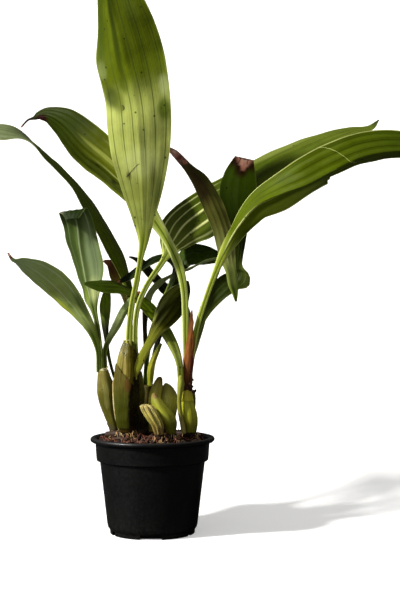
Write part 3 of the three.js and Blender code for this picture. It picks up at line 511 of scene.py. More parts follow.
# %% Leaf stations
LEAVES = {
    "leaf_centre_tall": [
        (-22.8, -21, 189.8, 2.9, 0, 0), (-21.9, -21, 207.4, 2.9, 0, -10),
        (-19.1, -22, 229.1, 2.9, 0, -12), (-14.6, -24, 250.6, 2.9, 0, -12),
        (-10.8, -26, 273.1, 2.9, 0, -14), (-7.8, -28, 290.6, 5.4, 0, -14), (-8, -30, 312, 11.7, 0, -14),
        (-9, -33, 341, 21.4, 0, -14), (-11, -38, 379, 30, 0, -12), (-15, -44, 425, 34.2, 16, -12),
        (-25, -52, 464, 38.3, 20, -22), (-36, -65, 511, 32.2, 36, -26), (-40, -79, 540, 17.7, 36, -24),
        (-41.2, -92, 566.2, 1.2, 36, -20)],
    "leaf_upper_left": [
        (34.2, -13, 158, 2.4, 0, -8), (33.7, -14.5, 168, 2.9, 0, -8), (33.4, -15, 180.1, 3, 0, -10),
        (33, -15, 197.4, 3.1, 0, -12), (32.9, -14, 214.2, 3.4, 0, -12), (31.6, -13, 241.9, 3.6, 0, -14),
        (26.1, -11, 266.7, 4.6, 5, -14), (12, -6, 296, 5.2, 15, -16), (-5, 0, 321, 9.5, 25, -14),
        (-23, 7, 347, 18.6, 32, -12), (-47, 14, 370, 22.4, 38, -12), (-70.5, 21, 389.5, 24.5, 38, -14),
        (-91.5, 28, 411.5, 18, 34, -14), (-107, 33, 421.5, 9.4, 28, -12),
        (-117.5, 36, 422.4, 4.9, 24, -10), (-123.6, 38, 419.6, 2, 20, -8),
        (-130, 39.5, 418.2, 0.8, 15, -6), (-137.6, 41, 410.6, 0.5, 15, -6)],
    "leaf_far_left": [
        (-29, 30, 138.2, 2.7, -30, -20), (-26.9, 38, 185.6, 2.9, -30, -20),
        (-24.2, 46, 226.8, 3.5, -40, -18), (-28, 50, 252, 7.3, -50, -14),
        (-39, 52, 281, 14.6, -60, -10), (-60, 52, 320, 20.9, -70, -8), (-80, 50, 350, 24, -78, -5),
        (-105, 51, 376, 24, -80, -4), (-131, 54, 399, 19.5, -80, -4), (-157, 58, 409, 14, -40, -8),
        (-184, 62, 410, 9.5, -30, -10), (-214.2, 66, 399.7, 1.2, -50, -6)],
    "leaf_left_folded": [
        (-51.4, -3, 164.2, 2.3, 0, -10), (-51.9, -3, 182.1, 2.3, 0, -10),
        (-54.4, -2, 202.1, 2.4, 0, -10), (-59.1, 0, 223, 4, 14, -16), (-65, 3, 242, 14, 36, -26),
        (-69, 4, 262, 20.6, 37, -28), (-73, 2, 285, 19.5, 26, -24), (-75, -3, 306, 16.5, 10, -18),
        (-78, -10, 319, 14.5, 0, -6), (-78, -17, 320, 12.3, 0, 0), (-78.1, -23, 311.4, 5.9, 0, 0)],
    "leaf_lower_left": [
        (-53.3, -9.5, 164.5, 2.2, 0, -10), (-54.2, -10, 182.4, 2.3, 0, -10),
        (-59.4, -13, 199.4, 4.9, 20, -14), (-69, -18, 215, 10.3, 35, -12),
        (-82, -24, 232, 15.2, 30, -12), (-97, -34, 248.6, 17.4, 28, -12),
        (-111, -44, 260, 15.6, 30, -10), (-124.5, -54, 268.4, 8, 36, -10),
        (-130.5, -59, 270.2, 3.2, 40, -8), (-134.6, -63, 276.4, 1, 40, -6)],
    "leaf_inner_left": [
        (-8.4, 17, 146.8, 2.3, 0, -10), (-5.4, 18, 179.2, 2.4, 0, -10), (1.6, 20, 206.6, 2.5, 0, -12),
        (9.8, 18, 230, 2.6, 0, -12), (19.1, 14, 251.2, 2.8, 0, -12), (23.1, 15, 266.4, 4, -20, -14),
        (15, 18, 277, 9.1, -48, -12), (0, 17, 274, 12.7, -60, -8), (-15, 16, 264, 11.7, -58, -8),
        (-27, 19, 255, 6.1, -50, -8), (-36.2, 21, 249.8, 1.2, -40, -6)],
    "leaf_inner_right": [
        (-2.9, 20.5, 147.2, 2.3, 0, -10), (1.5, 25, 178.9, 2.5, 0, -10), (9.6, 27, 206.4, 2.6, 0, -12),
        (17.7, 28.5, 232, 2.7, 0, -12), (24.9, 30, 254.6, 3.3, 10, -12), (30, 33, 272, 9.6, 24, -12),
        (40, 34, 280, 14.4, 30, -8), (53, 34, 279, 13.2, 34, -8), (67, 33, 276, 8.6, 38, -8),
        (80.2, 31, 271, 1.2, 40, -6)],
    "leaf_low_crossing": [
        (28.7, -20, 148.8, 3.1, 0, -12), (26.9, -19, 171, 3.5, -8, -14), (19, -6, 192, 6.5, -30, -12),
        (7, 1, 211, 9.5, -44, -8), (-6, 10, 227, 14.1, -54, -6), (-20, 13, 239, 14.2, -60, -5),
        (-34, 3, 245, 13, -60, -5), (-47, -11, 246, 10.9, -56, -6), (-57, -15, 247, 6.4, -50, -8),
        (-66.6, -17, 248.2, 1.2, -44, -6)],
    "leaf_small_dark": [
        (-34.8, 26, 138.2, 1.6, 0, -8), (-40.4, 20, 155.8, 1.6, 0, -8), (-44.4, 15, 172.3, 1.6, 0, -8),
        (-46.8, 13, 188.5, 2, 0, -10), (-48.2, 12, 205.7, 3.6, 10, -14), (-49, 12, 221, 6.1, 20, -14),
        (-47.5, 12, 235, 5, 20, -12), (-45.5, 12, 246.1, 1.2, 20, -6)],
    "leaf_narrow_young": [
        (-46.9, -5.5, 164.3, 2.1, 0, -8), (-47.1, -6, 182.2, 2.4, 0, -10),
        (-42.1, -7, 194.2, 3.3, -20, -20), (-35.1, -7, 205.7, 4.9, -30, -22),
        (-27.2, -7, 221.1, 5.2, -30, -22), (-19.7, -7, 232, 3.8, -25, -16),
        (-12.2, -8, 240.4, 1.2, -20, -6)],
    "leaf_rear_left": [
        (-23.6, 34, 138.4, 2.1, 0, -8), (-24.1, 44, 180.2, 2.3, 0, -8),
        (-25.7, 54, 213.2, 2.7, -10, -10), (-29, 58, 237, 6.3, -25, -12),
        (-38, 60, 258, 10.5, -40, -12), (-46, 60, 270, 6.3, -40, -10), (-54, 60, 273.2, 1.2, -35, -6)],
    "leaf_dark_pointed": [
        (83.3, -5, 230.4, 1, 0, -4), (82, -5, 240, 3.4, 0, -6), (80.2, -6, 248, 5, 0, -8),
        (78.2, -7, 260.8, 5.6, 0, -10), (75, -8, 274, 8.1, -4, -12), (73, -9, 286, 9.3, -6, -12),
        (69, -9, 305, 10.1, -12, -12), (59, -9, 330, 10.7, -16, -12), (49, -8, 349, 9.1, -16, -12),
        (35.5, -6, 364.3, 5, -14, -10), (23.5, -4, 377.5, 4, -20, -10),
        (13.5, -2, 385.2, 1.2, -20, -6)],
    "leaf_dark_kinked": [
        (37, -10.6, 164, 2.6, 0, -8), (38.8, -9.5, 180.7, 2.8, 0, -10), (42.4, -6, 195.2, 3, 0, -12),
        (49.4, -1, 215.5, 5.4, 14, -14), (59, 4, 233, 9.2, 20, -14), (72, 8, 247.5, 12.4, 22, -12),
        (82.2, 10, 253.6, 10.4, 16, -10), (86, 10, 258, 8.6, 10, -10), (86, 10, 265.5, 4.6, -6, -8),
        (85.7, 10, 271.3, 4.6, -10, -8), (87, 9, 287, 6.2, -16, -10), (86, 9, 311, 11.6, -16, -10),
        (86, 9, 338, 19.1, -14, -10), (88, 9, 357, 16.6, -12, -8), (92, 8, 375, 9.6, -10, -4)],
    "leaf_upper_right": [
        (-15.6, -10, 172, 2.6, 0, -8), (-16.7, -13, 189.5, 2.6, 0, -8),
        (-16.3, -13, 210.2, 2.5, 0, -10), (-13, -12, 229, 2.6, 0, -10), (-5.2, -8, 246.9, 2.8, 0, -10),
        (5, -2, 262.9, 3, 4, -12), (13.3, 5, 276.2, 4.5, 12, -12), (20, 14, 291, 15.2, 14, -12),
        (32, 26, 309, 28.6, 22, -12), (54, 36, 327, 34, 28, -10), (79, 42, 346, 31.1, 32, -10),
        (110, 52, 368, 28.2, 36, -10), (145, 60, 387, 24.7, 37, -10), (179, 67, 403, 18.5, 40, -10),
        (209, 72, 413, 10.6, 42, -10), (228, 75, 415.6, 6.6, 42, -8), (237.5, 76, 423.5, 0.8, 40, -6)],
    "leaf_right_long": [
        (37.4, -14.5, 166, 2.3, 0, -8), (39.7, -16.5, 180.1, 2.5, 0, -8),
        (44.8, -18, 206.4, 2.5, 0, -10), (54, -19, 235.9, 2.6, 0, -12), (63.9, -22, 262.4, 3.5, 4, -20),
        (73, -26, 283, 7.4, 14, -36), (85, -30, 304, 12.2, 18, -42), (103, -33, 324, 18.5, 8, -44),
        (126, -35, 335, 21.8, -12, -42), (150, -40, 344, 25.6, -30, -42), (176, -46, 357, 26, -34, -40),
        (206, -53, 370, 22.9, -34, -36), (237, -60, 374, 19, -34, -32), (270, -67, 371, 11.3, -34, -26),
        (299.1, -73, 358.8, 1.2, -30, -16)],
    "leaf_new_growth": [
        (-16.6, -23.5, 158, 2.4, 0, -12), (-14.2, -24.5, 164.6, 4.2, 6, -18),
        (-9.8, -20, 176.5, 4.9, 12, -22), (-2.2, -15, 191.4, 5.2, 18, -26), (4, -13, 203, 7.4, 10, -22),
        (13, -10, 216, 11.9, 0, -16), (21, -6, 228, 13.9, -6, -12), (27, -3, 237, 11.5, -8, -10),
        (32, -1, 244, 7, -8, -8), (35.4, 0, 251, 1.2, -8, -6)],
    "shoot_young": [
        (-3, 10.5, 147.3, 2.4, 0, -10), (-2.3, 5, 160.7, 3.4, 0, -16), (0.8, 2, 171.9, 3.2, 0, -16),
        (4.8, 2, 180.9, 2.4, 0, -12), (8.5, 2, 188.5, 1.2, 0, -6)],
    "leaf_rear_thin": [
        (-6.9, 40, 138, 2.3, 0, -8), (-8.4, 40, 178.3, 2.4, 0, -10), (-9.3, 38, 209.3, 2.7, -20, -12),
        (-5, 34, 234, 6.2, -54, -8), (5, 29.5, 248, 7.8, -60, -4), (19.8, 25.5, 257.5, 5.5, -60, -4),
        (35.2, 17.5, 262.9, 4.7, -64, -4), (51.4, 13, 270.4, 3.6, -60, -4), (60.5, 10, 273, 3, -56, -4),
        (69.5, 8, 275.3, 1.2, -50, -4)],
    "leaf_rear_right": [
        (32.1, 24, 141.5, 2.4, 0, -8), (35.1, 29, 180.8, 2.6, 0, -10), (35.6, 36, 209.3, 3.5, -10, -14),
        (28, 43, 229, 8.3, -35, -12), (15, 51, 242, 11.5, -46, -8), (1, 52, 256, 12.5, -50, -8),
        (-10, 50, 268, 10.4, -50, -8), (-20, 44, 275, 4.1, -45, -8), (-26.1, 43, 276.5, 1.2, -40, -6)],
}
DARK_POINTED_STALK = [
    (37.2, 19, 141.6, 2.4, 0, -8), (38.8, 16, 169.2, 2.5, 0, -10), (50.4, 15, 209.7, 2.5, 0, -10),
    (57, 17, 235, 2.5, 0, -10), (61.1, 17, 252.3, 2.6, 0, -10), (66.5, 9, 266.3, 2.8, 0, -12),
    (71.3, -6, 278.8, 2.6, 0, -12)]
print("leaves:", len(LEAVES))

# %% [markdown]
# A smooth line goes through the stations, with a Hermite curve between each two, and carries a
# facing direction along without twisting it. Blender's own curves could do this, but they don't
# carry a width, a roll and a fold as well. `spine` gives a row of values at each small step.

# %% Leaf spine
ROW_STEP = 2.4


def smooth(value, low, high):
    share = np.clip((value - low) / (high - low), 0, 1)
    return share * share * (3 - 2 * share)


def unit(direction):
    return direction / np.linalg.norm(direction)


def hermite_rows(rows, spans, knots, slopes):
    """Values, tangents and runs at small steps along the curve through the rows."""
    values, tangents, runs = [], [], []
    for i, span in enumerate(spans):
        for t in np.arange(0, 1, 1 / max(2, math.ceil(span / ROW_STEP))):
            values.append(
                (2 * t**3 - 3 * t**2 + 1) * rows[i] + (t**3 - 2 * t**2 + t) * span * slopes[i]
                + (3 * t**2 - 2 * t**3) * rows[i + 1] + (t**3 - t**2) * span * slopes[i + 1])
            tangents.append((
                (6 * t**2 - 6 * t) * (rows[i] - rows[i + 1]) + (3 * t**2 - 4 * t + 1) * span * slopes[i]
                + (3 * t**2 - 2 * t) * span * slopes[i + 1])[:3])
            runs.append(knots[i] + t * span)
    return values + [rows[-1]], tangents + [slopes[-1][:3]], np.array(runs + [knots[-1]])


def spine(stations):
    rows = np.array(stations, float)
    spans = np.linalg.norm(np.diff(rows[:, :3], axis=0), axis=1)
    knots = np.concatenate([[0], np.cumsum(spans)])
    low = np.maximum(np.arange(len(rows)) - 1, 0)
    high = np.minimum(np.arange(len(rows)) + 1, len(rows) - 1)
    slopes = (rows[high] - rows[low]) / (knots[high] - knots[low])[:, None]
    values, tangents, runs = hermite_rows(rows, spans, knots, slopes)
    tangents = [unit(tangent) for tangent in tangents]
    facing = np.array([0.0, -1.0, 0.0])
    facings = []
    for tangent in tangents:
        facing = unit(facing - facing.dot(tangent) * tangent)
        facings.append(facing)
    return values, tangents, facings, runs


print("rows of the tallest leaf:", len(spine(LEAVES["leaf_centre_tall"])[0]))

# %% [markdown]
# Leaves, bracts and sheaths are thin sheets with a front and a back. Solidify could thicken one
# sheet, but here the thickness changes from rib to margin. So each is two grids of points, joined
# all round, which makes a closed thin solid. The mesh also carries the values its finish reads.

# %% Sheet mesh
LAYER_KINDS = {1: ("FLOAT", "value"), 3: ("FLOAT_VECTOR", "vector"), 4: ("FLOAT_COLOR", "color")}
SHARP_ANGLE = 70


def sheet_faces(rows, columns):
    f = np.arange(rows * columns).reshape(rows, columns)
    b = f + rows * columns
    a, c = f[:-1, :-1].ravel(), f[:-1, 1:].ravel()
    d, e = f[1:, 1:].ravel(), f[1:, :-1].ravel()
    faces = np.stack([a, c, d, e], 1).tolist()
    faces += (np.stack([a, e, d, c], 1) + rows * columns).tolist()
    for i in range(rows - 1):
        faces.append([int(f[i, 0]), int(f[i + 1, 0]), int(b[i + 1, 0]), int(b[i, 0])])
        faces.append([int(f[i + 1, -1]), int(f[i, -1]), int(b[i, -1]), int(b[i + 1, -1])])
    for j in range(columns - 1):
        faces.append([int(f[0, j + 1]), int(f[0, j]), int(b[0, j]), int(b[0, j + 1])])
        faces.append([int(f[-1, j]), int(f[-1, j + 1]), int(b[-1, j + 1]), int(b[-1, j])])
    return faces


def sheet_mesh(name, front, back, layers):
    """A closed mesh of two grids of points, with a UV map and attributes for each point."""
    rows, columns = front.shape[:2]
    points = np.concatenate([front.reshape(-1, 3), back.reshape(-1, 3)]) * MM
    mesh = bpy.data.meshes.new(name)
    mesh.from_pydata(points.tolist(), [], sheet_faces(rows, columns))
    for title, data in layers.items():
        both = np.concatenate([side.reshape(rows * columns, -1) for side in data])
        if title == "leaf":
            corners = np.zeros(len(mesh.loops), int)
            mesh.loops.foreach_get("vertex_index", corners)
            mesh.uv_layers.new(name="leaf").data.foreach_set("uv", both[corners].ravel())
            continue
        kind, field = LAYER_KINDS[both.shape[1]]
        mesh.attributes.new(title, kind, "POINT").data.foreach_set(field, both.ravel())
    mesh.shade_smooth()
    mesh.set_sharp_from_angle(angle=math.radians(SHARP_ANGLE))
    mesh.update()
    return mesh


print("sheet faces of a 3 by 4 grid:", len(sheet_faces(3, 4)))

# %% [markdown]
# Withered ends and stains are painted on the points of a leaf, and so are some painted highlights
# and painted shade. An image could hold them, but a few soft ellipses in the leaf's own across and
# along are enough, and they move with the leaf.

# %% Paint for leaves
def dryness(v, share, places):
    """How withered each point is: a place is (across, along, reach across, reach along)."""
    amount = np.zeros((len(share), len(v), 1))
    for across, along, wide, long in places:
        away = np.hypot((v[None, :] - across) / wide, (share[:, None] - along) / long)
        amount[..., 0] = np.maximum(amount[..., 0], 1 - 0.6 * away)
    return np.clip(amount, 0, 1)


def stains_and_painted_light(v, share, places):
    """Colour and strength at each point: a place also gives a colour and how strong it is."""
    paint = np.zeros((len(share), len(v), 4))
    for across, along, wide, long, colour, strength in places:
        away = np.hypot((v[None, :] - across) / wide, (share[:, None] - along) / long)
        cover = strength * (1 - smooth(away, 0.35, 1))[..., None]
        paint[..., :3] = paint[..., :3] * (1 - cover) + np.array(linear(colour)[:3]) * cover
        paint[..., 3:] = paint[..., 3:] * (1 - cover) + cover
    paint[..., :3] /= np.maximum(paint[..., 3:], 1e-3)
    return paint


print("leaf paint ready")

# %% [markdown]
# A real blade is not a flat strip. It is pleated, its margin is ruffled, and between the ribs it
# has a few shallow buckles. Displacing a fine mesh by a texture could give this too, but sums on
# each cross-section follow the leaf's own width and length. A notch takes something off one margin,
# or adds a small lobe where its depth is below zero.

# %% Leaf relief
BUCKLE_LENGTH = 24


def notched(v, share, half, notches):
    """Half the width at each point of a section; a notch is (side, start, end, depth)."""
    width = np.full(len(v), half)
    for hand, start, end, depth in notches:
        inside = (share - start) / (end - start)
        inside = inside if inside <= 1 else 0
        width = width - depth * max(inside, 0) * (np.sign(v) == hand) * np.abs(v) ** 4
    return width


def lifts(v, run, half, blade, pleats, seed, look):
    """How far each point of a section stands off its fold: pleats, a ruffle and buckles."""
    hand = np.sign(v)
    lift = look.get("pleat", 0.016) * half * blade * np.cos(math.pi * (v + 1) * 2 * pleats)
    phase = run / look.get("ruffle_length", 34) * 2 * math.pi
    ruffle = np.sin(phase + 1.7 * hand + seed) + 0.6 * np.sin(1.83 * phase - 0.9 * hand + 2 * seed)
    lift = lift + look.get("ruffle", 0.8) * blade * np.abs(v) ** 4 * ruffle
    places = [Vector((u * half / BUCKLE_LENGTH * 1.6, run / BUCKLE_LENGTH, seed % 97)) for u in v]
    return lift + look.get("buckle", 1.4) * blade * np.array([noise.noise(place) for place in places])


print("leaf relief ready")

# %% [markdown]
# Then a cross-section is laid at each step of the spine: two halves folded about the midrib, with
# that relief. Where the leaf is narrow it is a stalk, thicker, rounder behind and channelled in
# front. `FRONTS` keeps each leaf's face, because a crease and some scars are laid on two of them.

# %% Leaf surface
BLADE_THICKNESS = 1.0
MARGIN_THICKNESS = 0.45
PETIOLE_HALF_WIDTH = 4
BLADE_HALF_WIDTH = 11
SMALLEST_HALF_WIDTH = 1.1
FRONTS = {}


def leaf_mesh(name, stations, pleats, look):
    """The fine mesh of one leaf; look holds its pleats, ruffle, buckle, dry ends, stains and painted light
    and shade.
    """
    values, tangents, facings, runs = spine(stations)
    v = np.linspace(-1, 1, 14 * pleats + 11)
    reach, hand = np.abs(v), np.sign(v)
    share = runs / runs[-1]
    seed = sum(map(ord, name))
    widest = max(value[3] for value in values)
    stalk_width, blade_width = min(PETIOLE_HALF_WIDTH, 0.45 * widest), min(BLADE_HALF_WIDTH, 0.8 * widest)
    front = np.zeros((len(values), len(v), 3))
    back = np.zeros_like(front)
    blades = np.zeros((len(values), len(v), 1))
    for k, (value, tangent, facing) in enumerate(zip(values, tangents, facings)):
        across = np.cross(tangent, facing)
        half = max(value[3], SMALLEST_HALF_WIDTH)
        turn, bend = math.radians(value[4]), math.radians(value[5])
        side = math.cos(turn) * across + math.sin(turn) * facing
        normal = math.cos(turn) * facing - math.sin(turn) * across
        stalk = (1 - smooth(half, stalk_width, blade_width)) * (1 - smooth(share[k], 0.5, 0.6))
        width = notched(v, share[k], half, look.get("notches", ()))
        lift = lifts(v, runs[k], half, 1 - stalk, pleats, seed, look)
        lean = np.outer(np.where(hand == 0, 1, math.cos(bend)), normal)
        lean -= np.outer(hand * math.sin(bend), side)
        middle = value[:3] + np.outer(v * width * math.cos(bend), side)
        middle += np.outer(reach * width * math.sin(bend), normal) + lean * lift[:, None]
        round_share = stalk * np.sqrt(np.clip(1 - v * v, 0, 1)) * half
        thick = BLADE_THICKNESS + (MARGIN_THICKNESS - BLADE_THICKNESS) * smooth(reach, 0.5, 1)
        channel = 0.22 * stalk * half * np.exp(-((v / 0.35) ** 2))
        front[k] = middle + lean * (thick / 2 + 0.24 * round_share - channel)[:, None]
        back[k] = middle - lean * (thick / 2 + 0.75 * round_share)[:, None]
        blades[k] = 1 - stalk
    FRONTS[name] = (front, v, share)
    uv = np.stack(np.broadcast_arrays((v / 2 + 0.5)[None, :], share[:, None]), -1)
    dry = dryness(v, share, look.get("dry", ()))
    stain_and_painted_light = stains_and_painted_light(v, share, look.get("stains_and_painted_light", ()))
    layers = {"leaf": (uv, uv), "blade": (blades, blades), "under": (0 * dry, 0 * dry + 1),
              "dry": (dry, dry), "stain_and_painted_light": (stain_and_painted_light, stain_and_painted_light)}
    return sheet_mesh(name, front, back, layers)


print("leaf surface ready")
